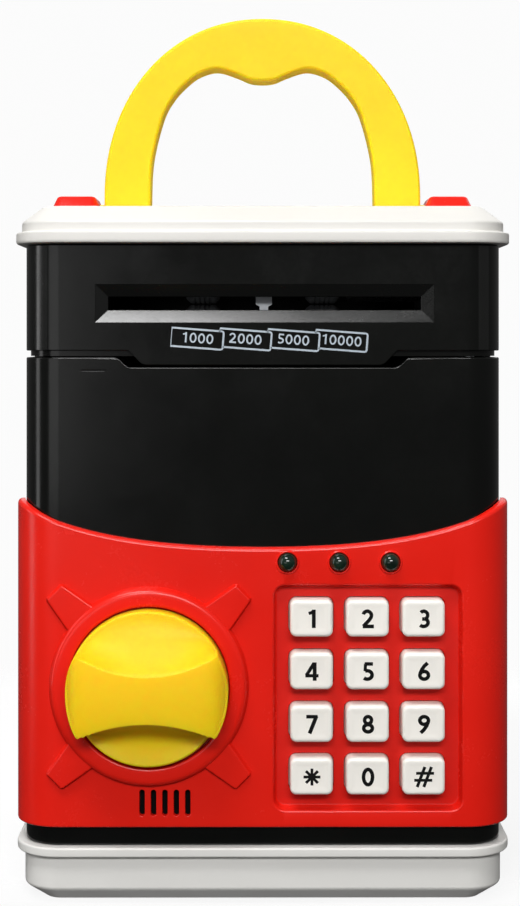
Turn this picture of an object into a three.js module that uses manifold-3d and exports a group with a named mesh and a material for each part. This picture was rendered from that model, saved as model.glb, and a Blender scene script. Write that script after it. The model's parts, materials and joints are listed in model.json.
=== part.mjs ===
// Toy ATM savings bank: a money box in the shape of a small cash machine.
//
// Millimetres, +Z up. +X is the viewer's right, the front faces -Y, and the origin is the
// centre of the base's underside, the face that the bank stands on.
//
// The case is a rear housing, an upper front with the note slot, a base and a cap. A door
// carries the red control panel, and swings on two steel pins at its right-hand edge.

import * as THREE from 'three';
import { mergeVertices } from 'three/addons/utils/BufferGeometryUtils.js';
import Module from 'manifold-3d';

const wasm = await Module();
wasm.setup();

// ---------- Driving dimensions ----------

const gap = 0.3;                 // clearance between neighbouring pieces
const wall = 2.4;                // moulded wall

// Case
const bodyHalfX = 65;
const bodyHalfY = 60;
const bodyCorner = 10;
const seamY = -34;               // the door and upper front end here
const housingFrontY = -33.6;     // and the rear housing starts here
const baseTop = 16;
const capBottom = 178.5;
const capTop = 189;
const housingBottom = baseTop + gap;
const housingTop = capBottom - gap;
const floorBottom = 19;          // floor of the money compartment
const floorThickness = 2;

// Base and cap: each has a rim that stands proud of its own wall
const baseGrow = 0.3;
const baseRimGrow = 2.4;
const baseRimBottom = 13.4;
const baseChamferRise = 4.2;
const trimChamferInset = 6;
const capGrow = 1.2;
const capRimGrow = 2.8;
const capRimTop = 181.7;
const capChamferRise = 4.5;
const coinSlot = { halfX: 15, halfY: 2.2, y: -2 };

// Note slot in the upper front
const fasciaBottom = 149.5;
const slotZ = 162.35;
const slotHalfX = 42.7;
const slotHalfZ = 2.15;
const slotBevel = 3.2;
const slotFrameBack = -56.5;     // the wall is thickened this far back around the slot
const slotFrameMargin = 2;
const tabHalfX = 36.5;           // the upper front dips down into the door in the middle
const tabBottom = 145.6;

// Door and its hinge
const doorBottom = baseTop + 0.7;
const doorTop = 147.7;
const doorTabTop = 145;
const hingeX = 58;
const hingeY = -41;
const hingeRadius = seamY - hingeY;
const pinRadius = 1.5;
const hingeBoss = 5;
const backCover = { x0: -58.5, x1: 52, y0: -36.6, y1: -34.8, z0: 20, z1: 141 };

// Control panel on the front of the door
const panelGap = 0.3;
const panelGrow = 2.3;
const panelFrontY = -bodyHalfY - panelGrow;
const panelBackY = -50.5;        // how far it wraps around the corners
const panelBottom = 21.5;
const smile = { low: 96.65, square: 1.463e-3, fourth: 2.812e-7 };

// Keypad
const keyPitchX = 15;
const keyPitchZ = 14.1;
const keypadX = 28;
const keypadZ = 57.15;
const keyWidth = 11.6;
const keyHeight = 10.6;
const keyCorner = 2.2;
const keyFlange = 0.8;           // how far a key's flange stands out behind the panel
const keyFrontY = panelFrontY - 2;
const recessHalfX = 25.1;
const recessHalfZ = 30.3;
const recessDepth = 3;
const recessSlope = 1.3;
const recessFloorY = panelFrontY + recessDepth;
const recessWall = 2;
const trayHalfX = recessHalfX + 1.6;
const trayHalfZ = recessHalfZ + 1.6;
const keyFlangeY = recessFloorY + recessWall + gap;
const keyLabels = [
  ['key_1', 'key_2', 'key_3'],
  ['key_4', 'key_5', 'key_6'],
  ['key_7', 'key_8', 'key_9'],
  ['key_star', 'key_0', 'key_hash'],
];

const membrane = { halfX: 25, halfZ: 30.5, frontY: -54.5, backY: -53.4 };
const board = { x0: 2, x1: 54, y0: -53.1, y1: -51.5, z0: 25.6, z1: 98 };

// Indicator lamps and speaker
const ledRadius = 2.5;
const ledFlange = 2.9;
const ledZ = 92.7;
const ledXs = [6.6, 20.5, 34.3];
const slotsX = -26.3;
const slotsZ = 28.3;
const slotsPitch = 3.07;
const speaker = { x: -26.3, z: 34, radius: 13.5, frontY: -57.3, backY: -51 };

// Knob, spindle and latch
const knobX = -30.6;
const knobZ = 59.4;
const knobRadius = 21.3;
const knobBackY = panelFrontY - 0.5;
const knobRim = 4.5;
const knobHeight = 15;
const knobDome = 25.4;
const ringRadius = 26.6;
const ringInner = 22;
const ringHeight = 2.3;
const arm = { root: 24, rootHalf: 5.2, tip: 35.6, tipHalf: 3, height: 1.5 };
const spindleRadius = 3;
const latchModule = 1;
const pinionTeeth = 10;
const pinionPitch = (latchModule * pinionTeeth) / 2;
const latchFrontY = -47;
const latchBackY = -42;
const rackZ = knobZ - pinionPitch;
const boltTop = rackZ - 1.2;
const boltBottom = boltTop - 4.8;
const boltTravel = pinionPitch * (Math.PI / 2);
const boltTipX = -54.4;
const boltEndX = -12;
const strike = { x0: -61.9, x1: -60.4, y0: -51, y1: -12, z0: 44, z1: 58 };

// Solenoid that holds the latch bolt
const solenoidX = -24;
const solenoidY = -44.5;
const solenoidTop = 40;
const plungerRadius = 1.6;
const collarBottom = 45;

// Handle, folding back into the cap
const handleY = -19;
const handleHalf = 5;            // half its thickness
const handlePivotZ = 190.3;
const handleHalfX = 46;
const handleTop = 246;
const handleLeg = 13.4;
const handlePin = 1.8;
const coverX0 = 47.3;
const coverX1 = 60.6;
const coverTop = 193.6;

// Note feeder
const feedModule = 0.6;
const rollerY = -46;
const syncTeeth = 20;
const rollerRise = (feedModule * syncTeeth) / 2;
const upperRollerZ = slotZ + rollerRise;
const lowerRollerZ = slotZ - rollerRise;
const tyreRadius = rollerRise - 0.2;
const tyreHalfWidth = 4.6;
const tyreXs = [-16.5, 16.5];
const shaftRadius = 1.5;
const driveTeeth = 26;
const motorTeeth = 8;
const motorY = rollerY + (feedModule * (driveTeeth + motorTeeth)) / 2;
const plateInner = 43.8;
const plateOuter = 45.8;
const gearInner = 46.3;
const gearOuter = 49.3;
const feederFrontY = -56.2;
const feederBackY = -28;
const feederTop = 177.2;
const leverX = 0.3;
const leverY = -53;
const leverZ = 170.5;
const leverHalf = 2.2;
const leverTipHalf = 1.15;
const lugInner = 3.6;
const lugOuter = 5.1;

// Batteries: three cells side by side under the compartment floor
const cellRadius = 7;
const cellHalfLength = 25.2;
const cellPitch = 14.4;
const cellZ = 10.1;
const cellYs = [15.4, 15.4 + cellPitch, 15.4 + 2 * cellPitch];
const batteryHalfX = 28.7;
const batteryWall = 1.5;
const batteryY0 = 8;
const batteryY1 = 51.8;
const tongue = { x0: 14, x1: 26, y0: -2 };
const batteryScrew = { x: 20, y: 3 };
const baseScrews = [[-50, -22], [50, -22], [-50, 40], [50, 40]];
const screwBoss = 4;
const screwHole = 1.7;
const screwRecess = 3.4;

// ---------- Materials ----------

function finish(color, roughness, metalness = 0) {
  return new THREE.MeshStandardMaterial({ color, roughness, metalness, flatShading: true });
}

const black = finish(0x101110, 0.25);
const white = finish(0xf2efe8, 0.4);
const red = finish(0xd81f16, 0.3);
const yellow = finish(0xffdc28, 0.35);
const keyWhite = finish(0xe8e4dc, 0.45);
const lampGreen = finish(0x16301f, 0.1);
const steel = finish(0xb4b6b8, 0.35, 1);
const brass = finish(0xc9a54e, 0.35, 1);
const rubber = finish(0x3a3c3e, 0.8);
const greyPlastic = finish(0xa9adb0, 0.5);
const darkPlastic = finish(0x2b2d2f, 0.5);
const boardGreen = finish(0x1e5a34, 0.5);
const gearWhite = finish(0xe9e9e2, 0.4);

// ---------- Solids ----------

// A closed geometry as a solid. Shared vertices are merged, and the flat triangles that
// a lathe leaves on its axis are dropped.
function toSolid(geometry) {
  geometry.deleteAttribute('normal');
  geometry.deleteAttribute('uv');
  const merged = mergeVertices(geometry, 1e-4);
  const corners = merged.index.array;
  const triangles = [];
  for (let i = 0; i < corners.length; i += 3) {
    const [a, b, c] = corners.subarray(i, i + 3);
    if (a !== b && b !== c && c !== a) triangles.push(a, b, c);
  }
  return new wasm.Manifold(new wasm.Mesh({
    numProp: 3,
    vertProperties: new Float32Array(merged.attributes.position.array),
    triVerts: new Uint32Array(triangles),
  }));
}

function union(first, ...others) {
  return others.reduce((sum, solid) => sum.add(solid), first);
}

function cut(first, ...others) {
  return others.reduce((rest, solid) => rest.subtract(solid), first);
}

function box(x0, x1, y0, y1, z0, z1) {
  const geometry = new THREE.BoxGeometry(x1 - x0, y1 - y0, z1 - z0);
  geometry.translate((x0 + x1) / 2, (y0 + y1) / 2, (z0 + z1) / 2);
  return toSolid(geometry);
}

function block({ x0, x1, y0, y1, z0, z1 }) {
  return box(x0, x1, y0, y1, z0, z1);
}

// Everything between two heights, reaching past the case on every side.
function slab(z0, z1) {
  const reach = 80;
  return box(-reach, reach, -reach, reach, z0, z1);
}

// A prism of a shape, its two ends cut back at an angle when a bevel is given.
function prism(shape, depth, bevel, curveSegments = 3) {
  const { inset = 0, rise = 0, segments = 1 } = bevel ?? {};
  const geometry = new THREE.ExtrudeGeometry(shape, {
    depth: depth - 2 * rise,
    curveSegments,
    bevelEnabled: rise > 0,
    bevelThickness: rise,
    bevelSize: inset,
    bevelOffset: -inset,
    bevelSegments: segments,
  });
  geometry.translate(0, 0, rise);
  return geometry;
}

// Shape in X and Y, standing up from z0 to z1.
function upright(shape, z0, z1, bevel, curveSegments) {
  const geometry = prism(shape, z1 - z0, bevel, curveSegments);
  geometry.translate(0, 0, z0);
  return toSolid(geometry);
}

// Shape in X and Z, running back from y0 to y1.
function frontal(shape, y0, y1, bevel, curveSegments) {
  const geometry = prism(shape, y1 - y0, bevel, curveSegments);
  geometry.rotateX(Math.PI / 2);
  geometry.translate(0, y1, 0);
  return toSolid(geometry);
}

// Shape in Y and Z, running across from x0 to x1.
function lateral(shape, x0, x1, bevel, curveSegments) {
  const geometry = prism(shape, x1 - x0, bevel, curveSegments);
  geometry.rotateX(Math.PI / 2);
  geometry.rotateZ(Math.PI / 2);
  geometry.translate(x0, 0, 0);
  return toSolid(geometry);
}

function rodZ(radius, z0, z1, x, y, sides = 12) {
  const geometry = new THREE.CylinderGeometry(radius, radius, z1 - z0, sides);
  geometry.rotateX(Math.PI / 2);
  geometry.translate(x, y, (z0 + z1) / 2);
  return toSolid(geometry);
}

function rodY(radius, y0, y1, x, z, sides = 12) {
  const geometry = new THREE.CylinderGeometry(radius, radius, y1 - y0, sides);
  geometry.translate(x, (y0 + y1) / 2, z);
  return toSolid(geometry);
}

function rodX(radius, x0, x1, y, z, sides = 12) {
  const geometry = new THREE.CylinderGeometry(radius, radius, x1 - x0, sides);
  geometry.rotateZ(Math.PI / 2);
  geometry.translate((x0 + x1) / 2, y, z);
  return toSolid(geometry);
}

// A profile of [radius, height] turned about an axis that points to the front. The
// profile runs up its outer side, from the back end to the front end.
function turnedToFront(profile, x, backY, z, sides = 32) {
  const points = profile.map(([radius, height]) => new THREE.Vector2(radius, height));
  const geometry = new THREE.LatheGeometry(points, sides);
  geometry.rotateX(Math.PI);
  geometry.translate(x, backY, z);
  return toSolid(geometry);
}

// ---------- Outlines ----------

function rectangle(x0, x1, y0, y1) {
  return new THREE.Shape([
    new THREE.Vector2(x0, y0),
    new THREE.Vector2(x1, y0),
    new THREE.Vector2(x1, y1),
    new THREE.Vector2(x0, y1),
  ]);
}

function roundedRectangle(halfX, halfY, radius, x = 0, y = 0) {
  const shape = new THREE.Shape();
  const dx = halfX - radius;
  const dy = halfY - radius;
  shape.absarc(x + dx, y - dy, radius, -Math.PI / 2, 0, false);
  shape.absarc(x + dx, y + dy, radius, 0, Math.PI / 2, false);
  shape.absarc(x - dx, y + dy, radius, Math.PI / 2, Math.PI, false);
  shape.absarc(x - dx, y - dy, radius, Math.PI, 1.5 * Math.PI, false);
  return shape;
}

// The case seen from above, grown outwards or shrunk inwards.
function bodyOutline(grow) {
  return roundedRectangle(bodyHalfX + grow, bodyHalfY + grow, bodyCorner + grow);
}

// The door seen from above. Its right-hand edge is rounded about the hinge pins.
function doorOutline(inset, backY) {
  const shape = new THREE.Shape();
  const cornerX = bodyHalfX - bodyCorner;
  const cornerY = -bodyHalfY + bodyCorner;
  shape.moveTo(-bodyHalfX + inset, backY);
  shape.lineTo(-bodyHalfX + inset, cornerY);
  shape.absarc(-cornerX, cornerY, bodyCorner - inset, Math.PI, 1.5 * Math.PI, false);
  shape.absarc(cornerX, cornerY, bodyCorner - inset, 1.5 * Math.PI, 2 * Math.PI, false);
  shape.absarc(hingeX, hingeY, hingeRadius - inset, 0, Math.PI / 2, false);
  if (backY > hingeY + hingeRadius - inset) shape.lineTo(hingeX, backY);
  return shape;
}

// The arch of the handle as a half-width at a height above its legs, for an arch of the
// given half-width and rise. The exponent makes it slightly squarer than an ellipse.
function archPoints(halfWidth, rise, foot, steps = 8) {
  const exponent = 2 / 2.1;
  const points = [];
  for (let i = 0; i <= 2 * steps; i += 1) {
    const angle = (Math.PI * i) / (2 * steps);
    const c = Math.cos(angle);
    const x = Math.sign(c) * halfWidth * Math.abs(c) ** exponent;
    const y = foot + rise * Math.sin(angle) ** exponent;
    points.push(new THREE.Vector2(x, y));
  }
  return points;
}

// Spur gear outline with involute flanks. toothAt is the direction of one tooth.
function gearOutline(teeth, module, toothAt, addendum = 0.6) {
  const pressure = THREE.MathUtils.degToRad(20);
  const involute = (angle) => Math.tan(angle) - angle;
  const pitch = (teeth * module) / 2;
  const baseRadius = pitch * Math.cos(pressure);
  const root = pitch - 1.2 * module;
  const tip = pitch + addendum * module;
  const backlash = 0.12 * module;
  const halfTooth = Math.PI / (2 * teeth) - backlash / pitch + involute(pressure);
  const flank = [Math.max(baseRadius, root), tip].map((radius) => ({
    radius,
    half: halfTooth - involute(Math.acos(Math.min(1, baseRadius / radius))),
  }));
  flank.unshift({ radius: root, half: flank[0].half });
  const points = [];
  for (let i = 0; i < teeth; i += 1) {
    const centre = toothAt + (2 * Math.PI * i) / teeth;
    const rising = flank.map(({ radius, half }) => [radius, centre - half]);
    const falling = flank.map(({ radius, half }) => [radius, centre + half]).reverse();
    for (const [radius, angle] of [...rising, ...falling]) {
      points.push(new THREE.Vector2(radius * Math.cos(angle), radius * Math.sin(angle)));
    }
  }
  return new THREE.Shape(points);
}

// ---------- The assembly ----------

const group = new THREE.Group();

function addPart(name, solid, material) {
  const { vertProperties, triVerts } = solid.getMesh();
  const geometry = new THREE.BufferGeometry();
  geometry.setAttribute('position', new THREE.BufferAttribute(vertProperties, 3));
  geometry.setIndex(new THREE.BufferAttribute(triVerts, 1));
  geometry.computeVertexNormals();
  const mesh = new THREE.Mesh(geometry, material);
  mesh.name = name;
  group.add(mesh);
}

// ---------- Case ----------

function rearHousing() {
  const shell = cut(
    upright(bodyOutline(0), housingBottom, housingTop),
    upright(bodyOutline(-wall), housingBottom - 1, housingTop + 1),
  );
  const floor = upright(bodyOutline(-wall / 2), floorBottom, floorBottom + floorThickness);
  const behindSeam = box(-bodyHalfX - 1, bodyHalfX + 1, housingFrontY, bodyHalfY + 1, 0, 200);
  const bosses = baseScrews.map(([x, y]) => rodZ(screwBoss, housingBottom, floorBottom + 1, x, y));
  const holes = baseScrews.map(([x, y]) => rodZ(screwHole, 15, floorBottom - 0.2, x, y, 10));
  return cut(union(shell, floor, ...bosses).intersect(behindSeam), ...holes);
}

function frontFascia() {
  const shell = cut(
    upright(bodyOutline(0), fasciaBottom, housingTop),
    upright(bodyOutline(-wall), fasciaBottom - 1, housingTop + 1),
  );
  const beforeSeam = box(-bodyHalfX - 1, bodyHalfX + 1, -bodyHalfY - 1, seamY, 0, 200);
  const dip = fasciaBottom - tabBottom;
  const tab = new THREE.Shape([
    new THREE.Vector2(-tabHalfX + dip, tabBottom),
    new THREE.Vector2(tabHalfX - dip, tabBottom),
    new THREE.Vector2(tabHalfX + 1, fasciaBottom + 1),
    new THREE.Vector2(-tabHalfX - 1, fasciaBottom + 1),
  ]);
  const frameHalfX = slotHalfX + slotBevel + slotFrameMargin;
  const frameHalfZ = slotHalfZ + slotBevel + slotFrameMargin;
  const slotBlock = box(
    -frameHalfX, frameHalfX,
    -bodyHalfY + 0.5, slotFrameBack, slotZ - frameHalfZ, slotZ + frameHalfZ,
  );
  const mouth = rectangle(
    -slotHalfX - slotBevel, slotHalfX + slotBevel,
    slotZ - slotHalfZ - slotBevel, slotZ + slotHalfZ + slotBevel,
  );
  const flare = { inset: slotBevel, rise: 3 };
  const funnel = frontal(mouth, -bodyHalfY - flare.rise, -bodyHalfY + flare.rise, flare);
  const slot = box(
    -slotHalfX, slotHalfX,
    -bodyHalfY - 1, slotFrameBack + 1, slotZ - slotHalfZ, slotZ + slotHalfZ,
  );
  const pinBoss = rodZ(hingeBoss, fasciaBottom, fasciaBottom + 9, hingeX, hingeY);
  const pinHole = rodZ(pinRadius + gap, fasciaBottom - 1, fasciaBottom + 8.3, hingeX, hingeY);
  return cut(
    union(
      shell.intersect(beforeSeam),
      frontal(tab, -bodyHalfY, -bodyHalfY + wall),
      slotBlock,
      pinBoss,
    ),
    funnel,
    slot,
    pinHole,
  );
}

function baseTray() {
  const chamfer = { inset: trimChamferInset, rise: baseChamferRise };
  const below = slab(-1, baseTop);
  const outer = union(
    upright(bodyOutline(baseGrow), 0, baseTop + 10, chamfer).intersect(below),
    upright(bodyOutline(baseRimGrow), baseRimBottom, baseTop),
  );
  const hollow = upright(bodyOutline(baseGrow - wall), wall, baseTop + 10, chamfer);
  const deck = upright(bodyOutline(baseGrow - wall / 2), baseTop - wall, baseTop)
    .intersect(box(-80, 80, -80, seamY - 0.5, 0, 80));
  const cellBox = cut(
    box(
      -batteryHalfX - batteryWall, batteryHalfX + batteryWall,
      batteryY0 - batteryWall, batteryY1 + batteryWall, 2, floorBottom - 0.5,
    ),
    box(-batteryHalfX, batteryHalfX, batteryY0, batteryY1, -1, 30),
  );
  const posts = baseScrews.map(([x, y]) => rodZ(4.4, 2, 15.7, x, y));
  const opening = union(
    box(-batteryHalfX, batteryHalfX, batteryY0, batteryY1, -1, 3),
    box(tongue.x0, tongue.x1, tongue.y0, batteryY0 + 1, -1, 3),
  );
  const body = union(
    cut(outer, hollow),
    deck,
    cellBox,
    rodZ(screwBoss, 2, 12, batteryScrew.x, batteryScrew.y),
    rodZ(hingeBoss, 8, baseTop, hingeX, hingeY),
    ...posts,
  );
  return cut(
    body,
    opening,
    rodZ(screwHole, 0, 11, batteryScrew.x, batteryScrew.y, 10),
    rodZ(pinRadius + gap, 8.7, baseTop + 1, hingeX, hingeY),
    ...baseScrews.map(([x, y]) => rodZ(screwHole, -1, 17, x, y, 10)),
    ...baseScrews.map(([x, y]) => rodZ(screwRecess, -1, 2.3, x, y)),
  );
}

function batteryCover() {
  const plate = union(
    box(-batteryHalfX + gap, batteryHalfX - gap, batteryY0 + gap, batteryY1 - gap, gap, 2.7),
    box(tongue.x0 + gap, tongue.x1 - gap, tongue.y0 + gap, batteryY0 + 1, gap, 2.7),
  );
  return cut(
    plate,
    rodZ(screwHole, -1, 4, batteryScrew.x, batteryScrew.y, 10),
    rodZ(3, -1, 1.8, batteryScrew.x, batteryScrew.y),
  );
}

// A pan-head screw driven upwards, its head at the bottom.
function screwUp(x, y, headBottom, headRadius, shankRadius, length) {
  return union(
    rodZ(headRadius, headBottom, headBottom + 1.3, x, y, 14),
    rodZ(shankRadius, headBottom + 1, headBottom + length, x, y, 8),
  );
}

// Outline in X and Y of the handle when it lies folded back, with clearance around it.
function handleGroove(clearance) {
  const foot = handleY;
  const front = foot - handleHalf - clearance;
  const rise = handleTop - handlePivotZ;
  const outer = archPoints(handleHalfX + clearance, rise + clearance, foot);
  const inner = archPoints(handleHalfX - handleLeg - clearance, rise - 19 - clearance, foot);
  inner.reverse();
  const outerRight = new THREE.Vector2(outer[0].x, front);
  const outerLeft = new THREE.Vector2(outer.at(-1).x, front);
  const innerLeft = new THREE.Vector2(inner[0].x, front);
  const innerRight = new THREE.Vector2(inner.at(-1).x, front);
  return new THREE.Shape([outerRight, ...outer, outerLeft, innerLeft, ...inner, innerRight]);
}

function topCap() {
  const chamfer = { inset: trimChamferInset, rise: capChamferRise };
  const above = slab(capBottom, 200);
  const outer = union(
    upright(bodyOutline(capGrow), capBottom - 10, capTop, chamfer).intersect(above),
    upright(bodyOutline(capRimGrow), capBottom, capRimTop),
  );
  const hollow = upright(bodyOutline(-wall), capBottom - 10, capTop - wall, chamfer);
  const grooveFloor = handlePivotZ - handleHalf - 2 * gap;
  const tub = upright(handleGroove(3), grooveFloor - 2, capTop - wall + 0.4);
  const groove = upright(handleGroove(1), grooveFloor, capTop + 1);
  const coinHole = box(
    -coinSlot.halfX, coinSlot.halfX,
    coinSlot.y - coinSlot.halfY, coinSlot.y + coinSlot.halfY, capBottom, capTop + 1,
  );
  const pinChannel = rodX(handlePin + gap, -54.8, 54.8, handleY, handlePivotZ);
  return cut(union(cut(outer, hollow), tub), groove, coinHole, pinChannel);
}

// Outline in X and Z of the upright handle, with two humps for the fingers inside the arch.
function handleOutline() {
  const foot = 194;
  const legBottom = handlePivotZ - handleHalf;
  const outer = archPoints(handleHalfX, handleTop - foot, foot, 10);
  const innerX = handleHalfX - handleLeg;
  const humpSide = [
    [innerX, 192],
    [32.2, 204.6],
    [30.3, 216.8],
    [27.8, 223],
    [23, 227.8],
    [18.7, 230.3],
    [12.9, 231.6],
    [7.2, 229.7],
  ];
  const left = humpSide.map(([x, z]) => new THREE.Vector2(-x, z));
  const right = humpSide.map(([x, z]) => new THREE.Vector2(x, z)).reverse();
  const humps = new THREE.SplineCurve([...left, new THREE.Vector2(0, 227.9), ...right]);
  return new THREE.Shape([
    new THREE.Vector2(handleHalfX, legBottom),
    ...outer,
    new THREE.Vector2(-handleHalfX, legBottom),
    new THREE.Vector2(-innerX, legBottom),
    ...humps.getPoints(32),
    new THREE.Vector2(innerX, legBottom),
  ]);
}

function handle() {
  const bevel = { inset: 0.8, rise: 0.8 };
  const arch = frontal(handleOutline(), handleY - handleHalf, handleY + handleHalf, bevel);
  const rounded = union(
    box(-60, 60, handleY - 10, handleY + 10, handlePivotZ, 260),
    rodX(handleHalf, -60, 60, handleY, handlePivotZ, 24),
  );
  return union(
    arch.intersect(rounded),
    rodX(handlePin, -54.4, -handleHalfX + 2, handleY, handlePivotZ),
    rodX(handlePin, handleHalfX - 2, 54.4, handleY, handlePivotZ),
  );
}

function hingeCover(side) {
  const middle = side * (coverX0 + coverX1) / 2;
  const outline = roundedRectangle((coverX1 - coverX0) / 2, 9, 3, middle, handleY);
  const cover = upright(outline, coverTop - 10, coverTop, { inset: 2.8, rise: 2.6 }, 3)
    .intersect(slab(capTop + gap, 220));
  const end = 55;
  const channel = side > 0
    ? rodX(handlePin + gap, 40, end, handleY, handlePivotZ)
    : rodX(handlePin + gap, -end, -40, handleY, handlePivotZ);
  return cut(cover, channel);
}

function strikePlate() {
  const { x0, x1 } = strike;
  const slack = 2 * gap;
  const hole = box(
    x0 - 1, x1 + 1, latchFrontY - slack, latchBackY + slack, boltBottom - slack, boltTop + slack,
  );
  return cut(block(strike), hole);
}

function buildCase() {
  addPart('rear_housing', rearHousing(), black);
  addPart('front_fascia', frontFascia(), black);
  addPart('base_tray', baseTray(), white);
  addPart('top_cap', topCap(), white);
  addPart('handle', handle(), yellow);
  addPart('hinge_cover_left', hingeCover(-1), red);
  addPart('hinge_cover_right', hingeCover(1), red);
  addPart('strike_plate', strikePlate(), steel);
  addPart('hinge_pin_lower', rodZ(pinRadius, 9, 24, hingeX, hingeY), steel);
  addPart('hinge_pin_upper', rodZ(pinRadius, 141, 157.5, hingeX, hingeY), steel);
  baseScrews.forEach(([x, y], index) => {
    addPart(`base_screw_${index + 1}`, screwUp(x, y, 0.6, 3, 1.4, 18), steel);
  });
}

function buildBatteries() {
  const { x, y } = batteryScrew;
  addPart('battery_cover', batteryCover(), white);
  addPart('battery_screw', screwUp(x, y, 0.4, 2.7, 1.2, 9), steel);
  cellYs.forEach((cellY, index) => {
    const cell = union(
      rodX(cellRadius, -cellHalfLength, cellHalfLength - 1, cellY, cellZ, 20),
      rodX(2.7, 0, cellHalfLength, cellY, cellZ, 10),
    );
    addPart(`battery_cell_${index + 1}`, cell, greyPlastic);
  });
  addPart('battery_contact_left', box(-26.5, -26, 9, 51, 4, 17), steel);
  addPart('battery_contact_right', box(26, 26.5, 9, 51, 4, 17), steel);
}

// ---------- Door ----------

// Outline in X and Z of the whole panel, its top edge a wide smile.
function panelOutline() {
  const halfX = bodyHalfX + panelGrow + 1;
  const steps = 20;
  const points = [
    new THREE.Vector2(-halfX, panelBottom),
    new THREE.Vector2(halfX, panelBottom),
  ];
  for (let i = 0; i <= steps; i += 1) {
    const x = halfX * (1 - (2 * i) / steps);
    points.push(new THREE.Vector2(x, smile.low + smile.square * x ** 2 + smile.fourth * x ** 4));
  }
  return new THREE.Shape(points);
}

function keyCentres() {
  return keyLabels.flatMap((row, rowIndex) => row.map((name, columnIndex) => ({
    name,
    x: keypadX + (columnIndex - 1) * keyPitchX,
    z: keypadZ + (1.5 - rowIndex) * keyPitchZ,
  })));
}

function doorShell() {
  const shell = cut(
    upright(doorOutline(0, seamY), doorBottom, doorTop),
    upright(doorOutline(wall, seamY + 2), doorBottom + wall, doorTabTop - wall),
  );
  const dip = doorTop - doorTabTop;
  const step = new THREE.Shape([
    new THREE.Vector2(-tabHalfX, doorTabTop),
    new THREE.Vector2(tabHalfX, doorTabTop),
    new THREE.Vector2(tabHalfX + dip + 1, doorTop + 1),
    new THREE.Vector2(-tabHalfX - dip - 1, doorTop + 1),
  ]);
  const bosses = [
    rodZ(hingeBoss, doorBottom, 25.5, hingeX, hingeY),
    rodZ(hingeBoss, 139.5, doorTop, hingeX, hingeY),
  ];
  const outside = -bodyHalfY - 1;
  const inside = -bodyHalfY + wall + 0.6;
  const windowX = trayHalfX + gap;
  const windowZ = trayHalfZ + gap;
  const cuts = [
    frontal(step, outside, seamY + 1),
    box(
      keypadX - windowX, keypadX + windowX, outside, inside, keypadZ - windowZ, keypadZ + windowZ,
    ),
    rodY(spindleRadius + 0.4, outside, inside, knobX, knobZ),
    ...ledXs.map((x) => rodY(ledFlange + 0.4, outside, inside, x, ledZ)),
    box(slotsX - 8, slotsX + 8, outside, inside, slotsZ - 4, slotsZ + 4),
    rodZ(pinRadius + gap, doorBottom - 1, 24.6, hingeX, hingeY),
    rodZ(pinRadius + gap, 140.4, doorTop + 1, hingeX, hingeY),
  ];
  return cut(union(shell, ...bosses), ...cuts);
}

function controlPanel() {
  const skin = cut(
    upright(bodyOutline(panelGrow), panelBottom, 112),
    upright(bodyOutline(panelGap), panelBottom - 1, 113),
  )
    .intersect(frontal(panelOutline(), panelFrontY - 1, panelBackY));
  const ringProfile = [
    [ringInner, -1], [ringRadius, -1], [ringRadius, 0], [ringRadius - 0.8, ringHeight],
    [ringInner, ringHeight], [ringInner, -1],
  ];
  const ring = turnedToFront(ringProfile, knobX, panelFrontY, knobZ, 32);
  const arms = [45, 135, 225, 315].map((degrees) => {
    const angle = THREE.MathUtils.degToRad(degrees);
    const along = (radius, across) => new THREE.Vector2(
      knobX + radius * Math.cos(angle) - across * Math.sin(angle),
      knobZ + radius * Math.sin(angle) + across * Math.cos(angle),
    );
    const outline = [
      along(arm.root, -arm.rootHalf),
      along(arm.tip, -arm.tipHalf),
      along(arm.tip, arm.tipHalf),
      along(arm.root, arm.rootHalf),
    ];
    return frontal(new THREE.Shape(outline), panelFrontY - arm.height, panelFrontY + 1);
  });
  const tray = frontal(
    roundedRectangle(trayHalfX, trayHalfZ, 3, keypadX, keypadZ),
    panelFrontY + 1, recessFloorY + recessWall, undefined, 3,
  );
  const recess = frontal(
    roundedRectangle(recessHalfX, recessHalfZ, 3, keypadX, keypadZ),
    panelFrontY - recessDepth, recessFloorY, { inset: recessSlope, rise: recessDepth }, 3,
  );
  const ledCollars = ledXs.map((x) => rodY(3.2, panelFrontY - 0.6, panelFrontY + 1, x, ledZ));
  const keyHoles = keyCentres().map(({ x, z }) => frontal(
    roundedRectangle(keyWidth / 2 + gap, keyHeight / 2 + gap, keyCorner, x, z),
    recessFloorY - 1, recessFloorY + recessWall + 1, undefined, 1,
  ));
  const slots = [-2, -1, 0, 1, 2].map((index) => frontal(
    roundedRectangle(0.68, 3.2, 0.6, slotsX + index * slotsPitch, slotsZ),
    panelFrontY - 1, -59, undefined, 1,
  ));
  return cut(
    union(skin, ring, ...arms, tray, ...ledCollars),
    recess,
    ...keyHoles,
    ...slots,
    rodY(spindleRadius + 0.4, panelFrontY - 1, -59, knobX, knobZ),
    ...ledXs.map((x) => rodY(ledRadius + 0.25, panelFrontY - 2, -59, x, ledZ)),
  );
}

function key(x, z) {
  const capOutline = roundedRectangle(keyWidth / 2, keyHeight / 2, keyCorner, x, z);
  const bevel = { inset: 0.8, rise: 0.7 };
  const flangeX = keyWidth / 2 + keyFlange;
  const flangeZ = keyHeight / 2 + keyFlange;
  return union(
    frontal(capOutline, keyFrontY, keyFlangeY + 0.9, bevel, 1),
    box(x - flangeX, x + flangeX, keyFlangeY, keyFlangeY + 1, z - flangeZ, z + flangeZ),
  );
}

function led(x) {
  const profile = [
    [0, 0], [ledFlange, 0], [ledFlange, 1], [ledRadius, 1], [ledRadius, 3.4],
    [0.87 * ledRadius, 3.4 + 0.5 * ledRadius],
    [0.5 * ledRadius, 3.4 + 0.87 * ledRadius],
    [0, 3.4 + ledRadius],
  ];
  return turnedToFront(profile, x, -59, ledZ, 16);
}

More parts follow.
